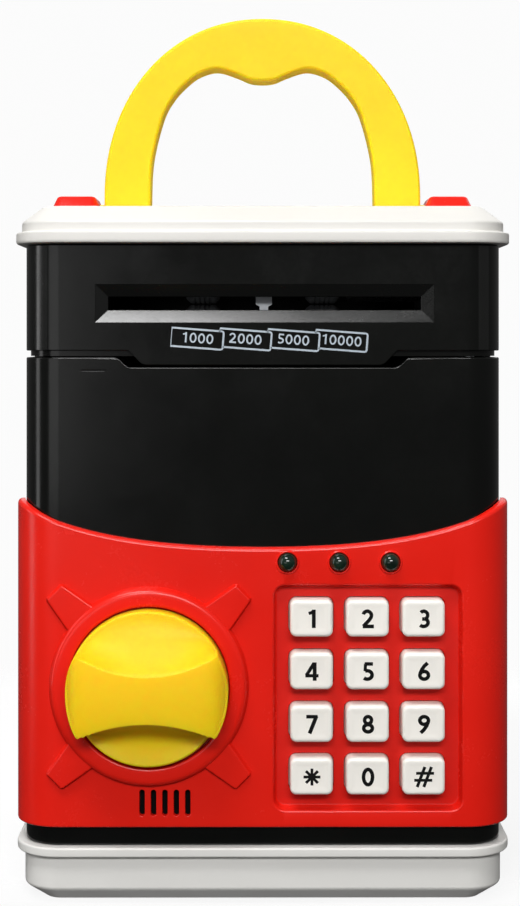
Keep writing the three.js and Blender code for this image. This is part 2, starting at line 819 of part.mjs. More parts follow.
function keypadMembrane() {
  const { halfX, halfZ, frontY, backY } = membrane;
  const sheet = box(
    keypadX - halfX, keypadX + halfX, frontY, backY, keypadZ - halfZ, keypadZ + halfZ,
  );
  const domes = keyCentres().map(({ x, z }) => rodY(4, frontY - 0.2, frontY + 0.5, x, z, 8));
  return union(sheet, ...domes);
}

function speakerDrive() {
  const { x, z, radius, frontY, backY } = speaker;
  const profile = [
    [0, 0], [8, 0], [8, 3], [radius, 3.6], [radius, backY - frontY],
    [radius - 1.5, backY - frontY], [0, 4.6],
  ];
  return turnedToFront(profile, x, backY, z, 24);
}

function buildDoor() {
  addPart('door_shell', doorShell(), black);
  addPart('control_panel', controlPanel(), red);
  addPart('door_back_cover', block(backCover), darkPlastic);
  for (const { name, x, z } of keyCentres()) {
    addPart(name, key(x, z), keyWhite);
  }
  addPart('keypad_membrane', keypadMembrane(), rubber);
  addPart('keypad_board', block(board), boardGreen);
  ledXs.forEach((x, index) => {
    addPart(`led_${['left', 'middle', 'right'][index]}`, led(x), lampGreen);
  });
  addPart('speaker', speakerDrive(), darkPlastic);
}

// ---------- Knob and latch ----------

function knob() {
  const base = turnedToFront([
    [0, 0], [knobRadius, 0], [knobRadius, knobRim - 1], [knobRadius - 1, knobRim], [0, knobRim],
  ], knobX, knobBackY, knobZ, 32);
  const domeCentre = knobHeight - knobDome;
  const gripRadius = knobRadius - 0.5;
  const dome = [[0, knobRim - 1], [gripRadius, knobRim - 1]];
  const steps = 6;
  for (let i = 0; i <= steps; i += 1) {
    const radius = gripRadius * (1 - i / steps);
    dome.push([radius, domeCentre + Math.sqrt(knobDome ** 2 - radius ** 2)]);
  }
  const waist = 6.4;
  const end = 12.5;
  const bar = new THREE.Shape();
  bar.moveTo(knobX - knobRadius, knobZ - end);
  bar.quadraticCurveTo(knobX, knobZ - 2 * waist + end, knobX + knobRadius, knobZ - end);
  bar.lineTo(knobX + knobRadius, knobZ + end);
  bar.quadraticCurveTo(knobX, knobZ + 2 * waist - end, knobX - knobRadius, knobZ + end);
  const grip = turnedToFront(dome, knobX, knobBackY, knobZ, 32)
    .intersect(frontal(bar, knobBackY - knobHeight - 1, knobBackY, undefined, 6));
  return cut(union(base, grip), rodY(spindleRadius + gap, -72.3, -60, knobX, knobZ));
}

function knobSpindle() {
  const pinion = gearOutline(pinionTeeth, latchModule, -Math.PI / 2, 0.9);
  const placed = frontal(pinion, latchFrontY - 0.2, latchBackY + 0.2).translate([knobX, 0, knobZ]);
  return union(rodY(spindleRadius, -72, -39, knobX, knobZ), placed);
}

// Bolt with a rack on top. A gap of the rack faces the pinion's lowest tooth, and two
// notches underneath take the solenoid's plunger at the two ends of the travel.
function latchBolt() {
  const bar = box(boltTipX, boltEndX, latchFrontY, latchBackY, boltBottom, boltTop);
  const pitch = Math.PI * latchModule;
  const addendum = 0.55 * latchModule;
  const slope = Math.tan(THREE.MathUtils.degToRad(20));
  const halfTooth = pitch / 4 - 0.12 * latchModule;
  const teeth = [];
  for (let i = -2; i <= 4; i += 1) {
    const x = knobX + (i + 0.5) * pitch;
    const foot = halfTooth + 1.4 * slope;
    const head = halfTooth - addendum * slope;
    const outline = new THREE.Shape([
      new THREE.Vector2(x - foot, boltTop - 0.2),
      new THREE.Vector2(x + foot, boltTop - 0.2),
      new THREE.Vector2(x + head, rackZ + addendum),
      new THREE.Vector2(x - head, rackZ + addendum),
    ]);
    teeth.push(frontal(outline, latchFrontY, latchBackY));
  }
  const notchHalf = plungerRadius + 2 * gap;
  const notches = [solenoidX, solenoidX + boltTravel].map((x) => box(
    x - notchHalf, x + notchHalf, latchFrontY - 1, latchBackY + 1, boltBottom - 1, boltBottom + 2.4,
  ));
  return cut(union(bar, ...teeth), ...notches);
}

function boltGuide() {
  const ring = box(-50, -47, latchFrontY - 2.2, latchBackY + 2.2, boltBottom - 2.2, boltTop + 2.2);
  const foot = box(-52, -45, latchBackY + 2, backCover.y0 - gap, boltBottom - 4, boltTop + 4);
  const window = box(-54, -43, latchFrontY - gap, latchBackY + gap, boltBottom - gap, boltTop + gap);
  return cut(union(ring, foot), window);
}

function solenoidBody() {
  const frame = box(solenoidX - 7, solenoidX + 7, solenoidY - 6, solenoidY + 6, 22, solenoidTop);
  return cut(frame, rodZ(plungerRadius + gap, 25, solenoidTop + 1, solenoidX, solenoidY));
}

function plunger() {
  return union(
    rodZ(plungerRadius, 26, boltBottom - 0.5, solenoidX, solenoidY, 14),
    rodZ(2.9, collarBottom, collarBottom + 0.9, solenoidX, solenoidY, 14),
  );
}

class Helix extends THREE.Curve {
  constructor(radius, bottom, top, turns) {
    super();
    Object.assign(this, { radius, bottom, top, turns });
  }

  getPoint(t, target = new THREE.Vector3()) {
    const angle = 2 * Math.PI * this.turns * t;
    return target.set(
      this.radius * Math.cos(angle),
      this.radius * Math.sin(angle),
      this.bottom + (this.top - this.bottom) * t,
    );
  }
}

function plungerSpring() {
  const wire = 0.3;
  const turns = 3;
  const section = new THREE.Shape();
  section.absarc(0, 0, wire, 0, 2 * Math.PI, false);
  const geometry = new THREE.ExtrudeGeometry(section, {
    extrudePath: new Helix(2.4, solenoidTop + 0.7, collarBottom - 0.7, turns),
    steps: 10 * turns,
    curveSegments: 3,
  });
  geometry.translate(solenoidX, solenoidY, 0);
  return toSolid(geometry);
}

function buildLatch() {
  addPart('knob', knob(), yellow);
  addPart('knob_spindle', knobSpindle(), greyPlastic);
  addPart('latch_bolt', latchBolt(), greyPlastic);
  addPart('bolt_guide', boltGuide(), steel);
  addPart('solenoid_body', solenoidBody(), steel);
  addPart('solenoid_plunger', plunger(), steel);
  addPart('plunger_spring', plungerSpring(), steel);
}

// ---------- Note feeder ----------

function feederFrame() {
  const sidePlate = (x0, x1) => box(x0, x1, feederFrontY, feederBackY, fasciaBottom + 0.7, feederTop);
  const guideTop = slotZ - slotHalfZ - 0.2;
  const guide = box(-plateInner - 1, plateInner + 1, feederFrontY, feederBackY, guideTop - 1.7, guideTop);
  const bridge = box(
    -plateInner - 1, plateInner + 1, feederFrontY, feederBackY, feederTop - 1.8, feederTop,
  );
  const lug = (x0, x1) => box(x0, x1, leverY - 2, leverY + 2, leverZ - 2, feederTop - 1);
  const body = union(
    sidePlate(-plateOuter, -plateInner),
    sidePlate(plateInner, plateOuter),
    guide,
    bridge,
    lug(leverX - lugOuter, leverX - lugInner),
    lug(leverX + lugInner, leverX + lugOuter),
  );
  const windows = tyreXs.map((x) => box(
    x - tyreHalfWidth - 1.2, x + tyreHalfWidth + 1.2,
    rollerY - tyreRadius - 0.8, rollerY + tyreRadius + 0.8, guideTop - 3, guideTop + 1,
  ));
  return cut(
    body,
    ...windows,
    rodX(shaftRadius + gap, -50, 50, rollerY, upperRollerZ),
    rodX(shaftRadius + gap, -50, 50, rollerY, lowerRollerZ),
    rodX(1.3, plateInner - 1, 50, motorY, upperRollerZ),
    rodX(1 + gap, leverX - 6, leverX + 6, leverY, leverZ, 12),
  );
}

// Gear between the side plates and the case, on the left (-1) or right (1).
function feederGear(teeth, toothAt, addendum, side, y, z) {
  const solid = lateral(gearOutline(teeth, feedModule, toothAt, addendum), gearInner, gearOuter);
  const placed = solid.translate([0, y, z]);
  return side > 0 ? placed : placed.translate([-gearInner - gearOuter, 0, 0]);
}

function rollerShaft(z, toothAt, rightEnd) {
  return union(
    rodX(shaftRadius, -gearOuter - 1, rightEnd, rollerY, z, 10),
    feederGear(syncTeeth, toothAt, 0.8, -1, rollerY, z),
  );
}

// Rubber tyre on a roller shaft, with its two edges cut back.
function tyre(x, z) {
  const outline = new THREE.Shape();
  outline.absarc(0, 0, tyreRadius, 0, 2 * Math.PI, false);
  const bevel = { inset: 1.2, rise: 1.2 };
  return cut(
    lateral(outline, x - tyreHalfWidth, x + tyreHalfWidth, bevel, 10).translate([0, rollerY, z]),
    rodX(shaftRadius + gap, x - 10, x + 10, rollerY, z),
  );
}

function sensorLever() {
  const tip = slotZ - slotHalfZ + 0.4;
  const paddle = new THREE.Shape([
    new THREE.Vector2(leverX - leverTipHalf, tip),
    new THREE.Vector2(leverX + leverTipHalf, tip),
    new THREE.Vector2(leverX + leverTipHalf, slotZ - 0.8),
    new THREE.Vector2(leverX + leverHalf, slotZ - 0.2),
    new THREE.Vector2(leverX + leverHalf, leverZ),
    new THREE.Vector2(leverX - leverHalf, leverZ),
    new THREE.Vector2(leverX - leverHalf, slotZ - 0.2),
    new THREE.Vector2(leverX - leverTipHalf, slotZ - 0.8),
  ]);
  return union(
    rodX(1, leverX - 5, leverX + 5, leverY, leverZ, 12),
    rodX(1.8, leverX - 3.2, leverX + 3.2, leverY, leverZ, 12),
    frontal(paddle, leverY - 0.8, leverY + 0.8),
  );
}

function feedMotor() {
  const can = rodX(6, 24, 43.5, motorY, upperRollerZ, 24);
  return can.intersect(box(20, 50, -60, 0, upperRollerZ - 5, upperRollerZ + 5));
}

function motorPinion() {
  return union(
    rodX(0.9, plateInner, gearInner + 0.5, motorY, upperRollerZ, 10),
    feederGear(motorTeeth, 0, 0.8, 1, motorY, upperRollerZ),
  );
}

function buildFeeder() {
  addPart('feeder_frame', feederFrame(), darkPlastic);
  addPart('feed_motor', feedMotor(), steel);
  addPart('motor_pinion', motorPinion(), brass);
  const halfTooth = Math.PI / syncTeeth;
  addPart('upper_roller_shaft', rollerShaft(upperRollerZ, -Math.PI / 2, 50), steel);
  addPart('lower_roller_shaft', rollerShaft(lowerRollerZ, Math.PI / 2 + halfTooth, plateOuter), steel);
  const drive = feederGear(driveTeeth, Math.PI / driveTeeth, 0.6, 1, rollerY, upperRollerZ);
  const driveBore = rodX(shaftRadius + gap, 40, 60, rollerY, upperRollerZ);
  addPart('drive_gear', cut(drive, driveBore), gearWhite);
  tyreXs.forEach((x, index) => {
    const side = ['left', 'right'][index];
    addPart(`upper_tyre_${side}`, tyre(x, upperRollerZ), rubber);
    addPart(`lower_tyre_${side}`, tyre(x, lowerRollerZ), rubber);
  });
  addPart('sensor_lever', sensorLever(), greyPlastic);
}

buildCase();
buildBatteries();
buildDoor();
buildLatch();
buildFeeder();

export default group;
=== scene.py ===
"""Looks for the toy ATM savings bank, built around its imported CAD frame.

Everything is modelled in millimetres in the CAD's own frame (+Z up, the front faces -Y), and
scaled to metres when a piece is made.
"""
import json
import math

import bmesh
import bpy
from mathutils import Matrix, Vector


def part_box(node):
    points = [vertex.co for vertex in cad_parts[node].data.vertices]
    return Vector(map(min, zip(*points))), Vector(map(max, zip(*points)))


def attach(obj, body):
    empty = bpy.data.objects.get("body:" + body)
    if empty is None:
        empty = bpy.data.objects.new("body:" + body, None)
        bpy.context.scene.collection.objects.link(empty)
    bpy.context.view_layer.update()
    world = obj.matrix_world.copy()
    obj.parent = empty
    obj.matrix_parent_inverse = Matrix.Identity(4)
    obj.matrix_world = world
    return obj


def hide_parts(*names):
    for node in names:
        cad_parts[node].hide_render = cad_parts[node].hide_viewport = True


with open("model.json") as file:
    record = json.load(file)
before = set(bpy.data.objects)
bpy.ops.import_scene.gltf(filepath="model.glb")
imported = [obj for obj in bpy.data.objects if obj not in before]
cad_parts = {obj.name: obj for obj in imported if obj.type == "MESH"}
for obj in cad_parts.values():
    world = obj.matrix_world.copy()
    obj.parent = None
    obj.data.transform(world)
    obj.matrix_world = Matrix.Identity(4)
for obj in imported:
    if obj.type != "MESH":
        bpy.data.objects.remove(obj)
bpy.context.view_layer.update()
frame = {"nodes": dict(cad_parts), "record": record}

MM = 0.001
TAU = 2 * math.pi


def cad(node):
    """Lowest and highest corner of a CAD node, in millimetres."""
    lo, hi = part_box(node)
    return lo / MM, hi / MM


def middle(node):
    """Centre of a CAD node, in millimetres."""
    lo, hi = cad(node)
    return (lo + hi) / 2


# ---------- Places taken from the frame (mm) ----------

body_lo, body_hi = cad("rear_housing")
door_lo, door_hi = cad("door_shell")
fascia_lo, fascia_hi = cad("front_fascia")
panel_lo, panel_hi = cad("control_panel")
cap_lo, cap_hi = cad("top_cap")
base_lo, base_hi = cad("base_tray")
knob_lo, knob_hi = cad("knob")
handle_lo, handle_hi = cad("handle")

BODY_X = body_hi.x
BODY_Y = -door_lo.y
CORNER = 10.0
WALL = 2.4
SEAM_Y = door_hi.y
HINGE = Vector((58.0, -41.0))
HINGE_R = 7.0
BASE_TOP = 16.0

SKIN = 2.3                          # how far the red panel stands out from the body
PANEL_FRONT = -BODY_Y - SKIN
KNOB_C = (knob_lo + knob_hi) / 2
SIDES = ("left", "middle", "right")
LAMPS = [middle(f"led_{side}") for side in SIDES]
KEY_NAMES = [f"key_{i}" for i in range(1, 10)] + ["key_star", "key_0", "key_hash"]
KEY_DROP = 0.4                      # how far a keycap's middle lies below that of its CAD key
KEY_HALF = Vector((5.8, 5.0))
LAMP_HOLE, SPINDLE_HOLE = 2.62, 3.4

FOLD_Y, FOLD_Z = -19.0, 190.3       # axis of the handle
HANDLE_HALF, HANDLE_LEG = 46.0, 13.4


# ---------- Outlines ----------

def bend(x, y, radius, start, end, steps):
    """Points on an arc about (x, y), from one angle to another, both in turns."""
    angles = [TAU * (start + (end - start) * i / steps) for i in range(steps + 1)]
    return [Vector((x + radius * math.cos(a), y + radius * math.sin(a))) for a in angles]


def circle(radius, x=0.0, y=0.0, steps=48):
    return bend(x, y, radius, 0, 1, steps)[:-1]


def rounded_rectangle(half_x, half_y, radius, x=0.0, y=0.0, steps=8):
    points = []
    for quarter, (sx, sy) in enumerate([(1, -1), (1, 1), (-1, 1), (-1, -1)]):
        cx, cy = x + sx * (half_x - radius), y + sy * (half_y - radius)
        points += bend(cx, cy, radius, (quarter - 1) / 4, quarter / 4, steps)
    return points


def body_front(inset, steps=14):
    """The two front corners of the case seen from above, from left to right."""
    x, y, radius = BODY_X - CORNER, -BODY_Y + CORNER, CORNER - inset
    return bend(-x, y, radius, 0.5, 0.75, steps) + bend(x, y, radius, 0.75, 1, steps)


def quarter_round(radius, steps):
    """(position, inset) pairs that round off an edge, from its face inwards."""
    angles = [TAU / 4 * i / steps for i in range(steps + 1)]
    return [(radius * (1 - math.cos(a)), radius * (1 - math.sin(a))) for a in angles]


def soft_corners(corners, radius=1.2, steps=5):
    """Rounds the corners of an open line of points."""
    line = [Vector(corners[0])]
    for before, here, after in zip(corners, corners[1:], corners[2:]):
        here = Vector(here)
        to_before = (Vector(before) - here).normalized()
        to_after = (Vector(after) - here).normalized()
        start, end = here + to_before * radius, here + to_after * radius
        for i in range(steps + 1):
            t = i / steps
            line.append(start.lerp(here, t).lerp(here.lerp(end, t), t))
    line.append(Vector(corners[-1]))
    return line


def grow(points, distance):
    """Moves a closed outline, counter-clockwise, outwards along its normals."""
    moved = []
    count = len(points)
    for i in range(count):
        before, here, after = points[i - 1], points[i], points[(i + 1) % count]
        first = (here - before).normalized()
        second = (after - here).normalized()
        n1 = Vector((first.y, -first.x))
        n2 = Vector((second.y, -second.x))
        mid = n1 + n2
        if mid.length < 1e-6:
            moved.append(here + n1 * distance)
        else:
            mid.normalize()
            moved.append(here + mid * (distance / max(0.3, mid.dot(n1))))
    return moved


# ---------- Mesh helpers ----------

def smooth_by_angle(mesh, degrees=35):
    mesh.polygons.foreach_set("use_smooth", [True] * len(mesh.polygons))
    mesh.set_sharp_from_angle(angle=math.radians(degrees))


def linked(name, bm):
    """An object in metres from a bmesh in millimetres, with all faces pointing out."""
    bmesh.ops.recalc_face_normals(bm, faces=bm.faces)
    if bm.calc_volume(signed=True) < 0:
        bmesh.ops.reverse_faces(bm, faces=bm.faces)
    mesh = bpy.data.meshes.new(name)
    bm.transform(Matrix.Scale(MM, 4))
    bm.to_mesh(mesh)
    bm.free()
    obj = bpy.data.objects.new(name, mesh)
    bpy.context.scene.collection.objects.link(obj)
    return obj


def new_object(name, bm, material, angle=35):
    """An object that is seen: merges stray points, and shades it smooth up to the angle."""
    bmesh.ops.remove_doubles(bm, verts=bm.verts, dist=1e-4)
    bmesh.ops.dissolve_degenerate(bm, edges=bm.edges, dist=1e-5)
    obj = linked(name, bm)
    obj.data.materials.append(material)
    smooth_by_angle(obj.data, angle)
    return obj


def bake_modifiers(obj, angle=35):
    """Replaces an object's mesh with the result of its modifiers."""
    bpy.context.view_layer.update()
    graph = bpy.context.evaluated_depsgraph_get()
    mesh = bpy.data.meshes.new_from_object(obj.evaluated_get(graph))
    obj.modifiers.clear()
    obj.data = mesh
    smooth_by_angle(mesh, angle)


def combine(obj, shapes, operation="DIFFERENCE"):
    """Cuts shapes from an object or joins them to it. Each is a bmesh or another object, and
    is used up."""
    for shape in shapes:
        other = shape if isinstance(shape, bpy.types.Object) else linked("tool", shape)
        step = obj.modifiers.new("boolean", "BOOLEAN")
        step.operation = operation
        step.solver = "EXACT"
        step.object = other
        bake_modifiers(obj)
        bpy.data.objects.remove(other)


def round_edges(obj, width, segments, angle):
    """Rounds every edge sharper than the angle."""
    step = obj.modifiers.new("rounding", "BEVEL")
    step.width = width * MM
    step.segments = segments
    step.limit_method = "ANGLE"
    step.angle_limit = math.radians(angle)
    step.use_clamp_overlap = False
    step.miter_outer = "MITER_ARC"
    step.harden_normals = False
    bake_modifiers(obj, 40)


def even_normals(obj, angle):
    """Shades a cut shell smooth up to the angle, with even normals on its flat faces."""
    smooth_by_angle(obj.data, angle)
    obj.modifiers.new("normals", "WEIGHTED_NORMAL").keep_sharp = True


def tint_faces(obj, material, chosen):
    """Gives a second material to the faces picked by chosen(centre in mm, normal)."""
    obj.data.materials.append(material)
    for face in obj.data.polygons:
        if chosen(face.center / MM, face.normal):
            face.material_index = len(obj.data.materials) - 1


def settle(obj, body, slot, *nodes):
    """The piece rides on a body and may stand for CAD nodes, which it hides. The slot is not used."""
    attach(obj, body)
    if nodes:
        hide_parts(*nodes)
    return obj


def skin_rings(rings):
    """Joins closed loops of the same length into a tube, its two ends closed."""
    bm = bmesh.new()
    loops = [[bm.verts.new(p) for p in ring] for ring in rings]
    count = len(loops[0])
    for low, high in zip(loops, loops[1:]):
        for i in range(count):
            j = (i + 1) % count
            bm.faces.new((low[i], low[j], high[j], high[i]))
    bm.faces.new(list(reversed(loops[0])))
    bm.faces.new(loops[-1])
    return bm


def along_y(outline, stages):
    """An outline in X and Z carried through (y, outset) stages."""
    return skin_rings([[(p.x, y, p.y) for p in grow(outline, out)] for y, out in stages])


def along_z(outline, stages):
    """An outline in X and Y carried through (z, outset) stages."""
    return skin_rings([[(p.x, p.y, z) for p in grow(outline, out)] for z, out in stages])


def rim_stages(start, end, radius, steps, both=True):
    """(place, outset) stages from start to end. The first rim is rounded, or both are."""
    if not radius:
        return [(start, 0.0), (end, 0.0)]
    rim = quarter_round(radius, steps)
    stages = [(start + position, -inset) for position, inset in rim]
    if both:
        return stages + [(end - position, -inset) for position, inset in reversed(rim)]
    return stages + [(end, 0.0)]


def upright(outline, z0, z1, radius=0.0, steps=4):
    """Outline in X and Y standing from z0 to z1, both rims rounded."""
    return along_z(outline, rim_stages(z0, z1, radius, steps))


def frontal(outline, y0, y1, radius=0.0, steps=4, both=True):
    """Outline in X and Z running back from y0 to y1. The front rim is rounded, or both are."""
    return along_y(outline, rim_stages(y0, y1, radius, steps, both))


def flared(outline, y_front, y_back, flare):
    """A cutter in X and Z that widens in a fillet at the front surface."""
    stages = [(y_front - 1.0, flare)]
    stages += [(y_front + position, inset) for position, inset in quarter_round(flare, 3)]
    return along_y(outline, stages + [(y_back, 0.0)])


def sunk(outline, top, bottom, flare):
    """A cutter from above whose mouth widens in a fillet."""
    stages = [(bottom, 0.0), (top - flare, 0.0)]
    stages += [(top - left, flare_out) for flare_out, left in quarter_round(flare, 4)[1:]]
    return along_z(outline, stages + [(top + 2, flare)])


def block(x0, x1, y0, y1, z0, z1):
    outline = [Vector(p) for p in ((x0, y0), (x1, y0), (x1, y1), (x0, y1))]
    return upright(outline, z0, z1)


# For each axis: the directions of a turn's first and second quarter, and that of its height.
TURNING = {
    "X": (Vector((0, 1, 0)), Vector((0, 0, 1)), Vector((1, 0, 0))),
    "Y": (Vector((1, 0, 0)), Vector((0, 0, 1)), Vector((0, -1, 0))),
    "Z": (Vector((1, 0, 0)), Vector((0, 1, 0)), Vector((0, 0, 1))),
}


def turned(profile, centre, axis="Y", steps=64):
    """Turns (radius, height) pairs about an axis through centre. Radius 0 ends in a pole."""
    bm = bmesh.new()
    u, v, w = TURNING[axis]
    spokes = [u * math.cos(TAU * i / steps) + v * math.sin(TAU * i / steps) for i in range(steps)]
    rows = []
    for radius, height in profile:
        hub = Vector(centre) + w * height
        if radius < 1e-6:
            rows.append([bm.verts.new(hub)])
        else:
            rows.append([bm.verts.new(hub + radius * spoke) for spoke in spokes])
    for low, high in zip(rows, rows[1:]):
        for i in range(steps):
            j = (i + 1) % steps
            corners = [low[i % len(low)], low[j % len(low)],
                       high[j % len(high)], high[i % len(high)]]
            unique = list(dict.fromkeys(corners))
            if len(unique) > 2:
                bm.faces.new(unique)
    if len(rows[0]) > 1 and len(rows[-1]) > 1 and profile[0] != profile[-1]:
        bm.faces.new(rows[0])
        bm.faces.new(rows[-1])
    return bm


def axle(x0, x1, radius, steps=32):
    """A rod along the handle's axis."""
    profile = [(0, x0), (radius, x0), (radius, x1), (0, x1)]
    return turned(profile, (0, FOLD_Y, FOLD_Z), "X", steps)


# ---------- Materials ----------

class Graph:
    """A node tree, with the patterns of nodes that the materials share."""

    def __init__(self, tree):
        self.tree = tree

    def set(self, node, socket, value):
        """Gives an input a number or a colour, or links another node's output to it."""
        if isinstance(value, bpy.types.NodeSocket):
            self.tree.links.new(value, node.inputs[socket])
        else:
            node.inputs[socket].default_value = value

    def add(self, kind, inputs=None, output=0, **settings):
        """Adds a node and returns one of its outputs."""
        node = self.tree.nodes.new("ShaderNode" + kind)
        for name, value in settings.items():
            setattr(node, name, value)
        for socket, value in (inputs or {}).items():
            self.set(node, socket, value)
        return node.outputs[output]

    def ranged(self, value, low, high, start=0.3, end=0.7):
        return self.add("MapRange", {"Value": value, "From Min": start, "From Max": end,
                                     "To Min": low, "To Max": high}, "Result")

    def math(self, operation, first, second):
        return self.add("Math", {0: first, 1: second}, "Value", operation=operation)

    def times(self, value, factor):
        return self.math("MULTIPLY", value, factor)


class Look(Graph):
    """A material's graph, with its shader and its object coordinates."""

    def __init__(self, name, color, roughness, metallic=0.0, specular=0.5):
        self.material = bpy.data.materials.new(name)
        self.material.use_nodes = True
        super().__init__(self.material.node_tree)
        self.shader = self.tree.nodes["Principled BSDF"]
        self.place = self.add("TexCoord", output="Object")
        self.give("Base Color", (*color, 1))
        self.give("Roughness", roughness)
        self.give("Metallic", metallic)
        self.give("Specular IOR Level", specular)

    def give(self, socket, value):
        self.set(self.shader, socket, value)

    def noise(self, scale, detail=3.0, roughness=0.5, distortion=0.0, place=None):
        return self.add("TexNoise", {"Vector": place or self.place, "Scale": scale,
                                     "Detail": detail, "Roughness": roughness,
                                     "Distortion": distortion}, "Fac")

    def blended(self, amount, first, second):
        """Mixes two colours. The first may be another node's output."""
        if not isinstance(first, bpy.types.NodeSocket):
            first = (*first, 1)
        return self.add("Mix", {"Factor": amount, "A": first, "B": (*second, 1)}, "Result",
                        data_type="RGBA")

    def bump(self, height, distance, strength=1.0):
        self.give("Normal", self.add(
            "Bump", {"Height": height, "Distance": distance, "Strength": strength}, "Normal"))


def moulded(name, color, shade, roughness, wave=0.00004, grain=0.000006, specular=0.5):
    """Injection-moulded plastic: slow colour drift, uneven gloss, faint sink waves and a fine
    tool grain."""
    look = Look(name, color, roughness[0], specular=specular)
    look.give("Base Color", look.blended(look.ranged(look.noise(22, 4), 0, 1), color, shade))
    handling = look.times(look.noise(60, 6, 0.65, 0.4), 0.75)
    scuffs = look.times(look.noise(900, 2, 0.6), 0.25)
    look.give("Roughness", look.ranged(look.math("ADD", handling, scuffs), *roughness))
    sink = look.times(look.noise(45, 2), wave)
    fine = look.times(look.noise(2600, 2), grain)
    look.bump(look.math("ADD", sink, fine), 1.0)
    return look.material


def translucent(material):
    """Lets light travel some millimetres inside the plastic, red the farthest."""
    shader = material.node_tree.nodes["Principled BSDF"]
    shader.inputs["Subsurface Weight"].default_value = 0.7
    shader.inputs["Subsurface Radius"].default_value = (1.0, 0.35, 0.04)
    shader.inputs["Subsurface Scale"].default_value = 0.006
    return material


def metal(name, color, roughness, brushed):
    """Metal with fine brushed lines along one axis and uneven tarnish."""
    look = Look(name, color, roughness[0], 1.0)
    lines = look.noise(900, place=look.add("Mapping", {"Vector": look.place, "Scale": brushed}))
    stain = look.noise(70, 4, 0.6)
    tarnish = [c * 0.72 for c in color]
    look.give("Base Color", look.blended(look.ranged(stain, 0, 1), tarnish, color))
    look.give("Roughness", look.ranged(look.times(lines, stain), *roughness, 0.1, 0.4))
    look.bump(lines, 0.00001, 0.6)
    return look.material


def lens_material():
    """Smoky green lamp resin: a dark, cloudy core, with a painted sheen that turns the colour paler
    towards the dome's edge.
    """
    look = Look("smoky_lens", (0.004, 0.012, 0.007), 0.05)
    cloud = look.ranged(look.noise(420), 0, 1)
    core = look.blended(cloud, (0.002, 0.006, 0.004), (0.008, 0.024, 0.014))
    # Painted sheen: the colour grows paler where the surface turns away from the view.
    edge = look.add("LayerWeight", {"Blend": 0.35}, "Facing")
    look.give("Base Color", look.blended(edge, core, (0.012, 0.036, 0.021)))
    look.give("Roughness", look.ranged(cloud, 0.03, 0.1, 0, 1))
    look.bump(cloud, 0.00001)
    return look.material


def board_material():
    """Solder mask over copper: faint tracks and pads under green lacquer."""
    look = Look("solder_mask", (0.01, 0.10, 0.04), 0.3)
    upended = look.add("Mapping", {"Vector": look.place, "Rotation": (TAU / 4, 0, 0)})
    tracks = look.add("TexBrick", {
        "Vector": upended, "Scale": 260, "Mortar Size": 0.06, "Color1": (0.008, 0.085, 0.03, 1),
        "Color2": (0.010, 0.100, 0.04, 1), "Mortar": (0.03, 0.20, 0.08, 1)}, "Color")
    look.give("Base Color", tracks)
    look.give("Roughness", look.ranged(look.noise(200), 0.25, 0.4))
    look.bump(tracks.node.outputs["Fac"], 0.00002)
    return look.material


def floor_material():
    """Pale paper, fading into the bright background well away from the object. It is clear
    from below and to reflected light, so that the underside is lit like the rest."""
    look = Look("floor_paper", (0.22, 0.22, 0.22), 0.7)
    seen = look.add("LightPath", output="Is Camera Ray")
    look.give("Emission Color", (1, 1, 1, 1))
    look.give("Emission Strength", look.times(seen, 0.76))
    offset = look.add("VectorMath", {0: look.place, 1: (0, 0.12, 0)}, operation="SUBTRACT")
    distance = look.add("VectorMath", {0: offset}, "Value", operation="LENGTH")
    fade = look.add("MapRange", {"Value": distance, "From Min": 0.15, "From Max": 0.205},
                    "Result", interpolation_type="SMOOTHSTEP")
    below = look.add("NewGeometry", output="Backfacing")
    unseen = look.math("MAXIMUM", look.ranged(seen, 1, 0, 0, 1), below)
    mix = look.add("MixShader", {"Fac": look.math("MAXIMUM", fade, unseen),
                                 1: look.shader.outputs[0], 2: look.add("BsdfTransparent")})
    look.set(look.tree.nodes["Material Output"], "Surface", mix)
    look.bump(look.noise(500), 0.00003)
    return look.material


black = moulded("black_abs", (0.0016, 0.0018, 0.0016), (0.0028, 0.0031, 0.0026), (0.12, 0.22),
                specular=0.36)
gloss_black = moulded("black_abs_polished", (0.0016, 0.0018, 0.0016), (0.0028, 0.0031, 0.0026),
                      (0.18, 0.30), specular=0.75)
white = moulded("white_abs", (0.71, 0.695, 0.66), (0.68, 0.665, 0.63), (0.34, 0.46))
# Painted light: a brighter copy of the cap's white plastic, for the base and its battery lid.
base_white_painted_light = moulded("white_abs_base_painted_light", (0.76, 0.75, 0.72), (0.72, 0.71, 0.68), (0.36, 0.48))
key_white = moulded("key_abs", (0.90, 0.87, 0.81), (0.86, 0.83, 0.77), (0.36, 0.48))
red = moulded("red_abs", (0.78, 0.014, 0.006), (0.71, 0.011, 0.005), (0.20, 0.30),
              specular=0.35)
# Painted shade: the recess floor's red is darker than the panel's, standing for the shade inside the
# recess. Its higher roughness is a real fine texture.
red_recess_painted_shade = moulded("red_abs_recess_rough_painted_shade", (0.66, 0.011, 0.005), (0.60, 0.009, 0.004), (0.34, 0.46),
                    specular=0.3)
yellow = translucent(moulded("yellow_abs", (0.94, 0.66, 0.012), (0.90, 0.61, 0.009),
                             (0.40, 0.52), specular=0.18))
knob_yellow = translucent(moulded("yellow_abs_knob", (0.99, 0.64, 0.012), (0.96, 0.59, 0.009),
                                  (0.40, 0.52), specular=0.18))
tyre_rubber = moulded("tyre_rubber", (0.15, 0.155, 0.16), (0.11, 0.115, 0.12), (0.62, 0.8),
                      grain=0.000012)
rubber = moulded("silicone_rubber", (0.050, 0.052, 0.056), (0.075, 0.077, 0.08), (0.62, 0.82),
                 grain=0.000012)
grey = moulded("grey_acetal", (0.42, 0.44, 0.46), (0.36, 0.38, 0.40), (0.38, 0.52))
dark = moulded("dark_abs", (0.018, 0.019, 0.021), (0.028, 0.030, 0.032), (0.42, 0.58),
               grain=0.000014)
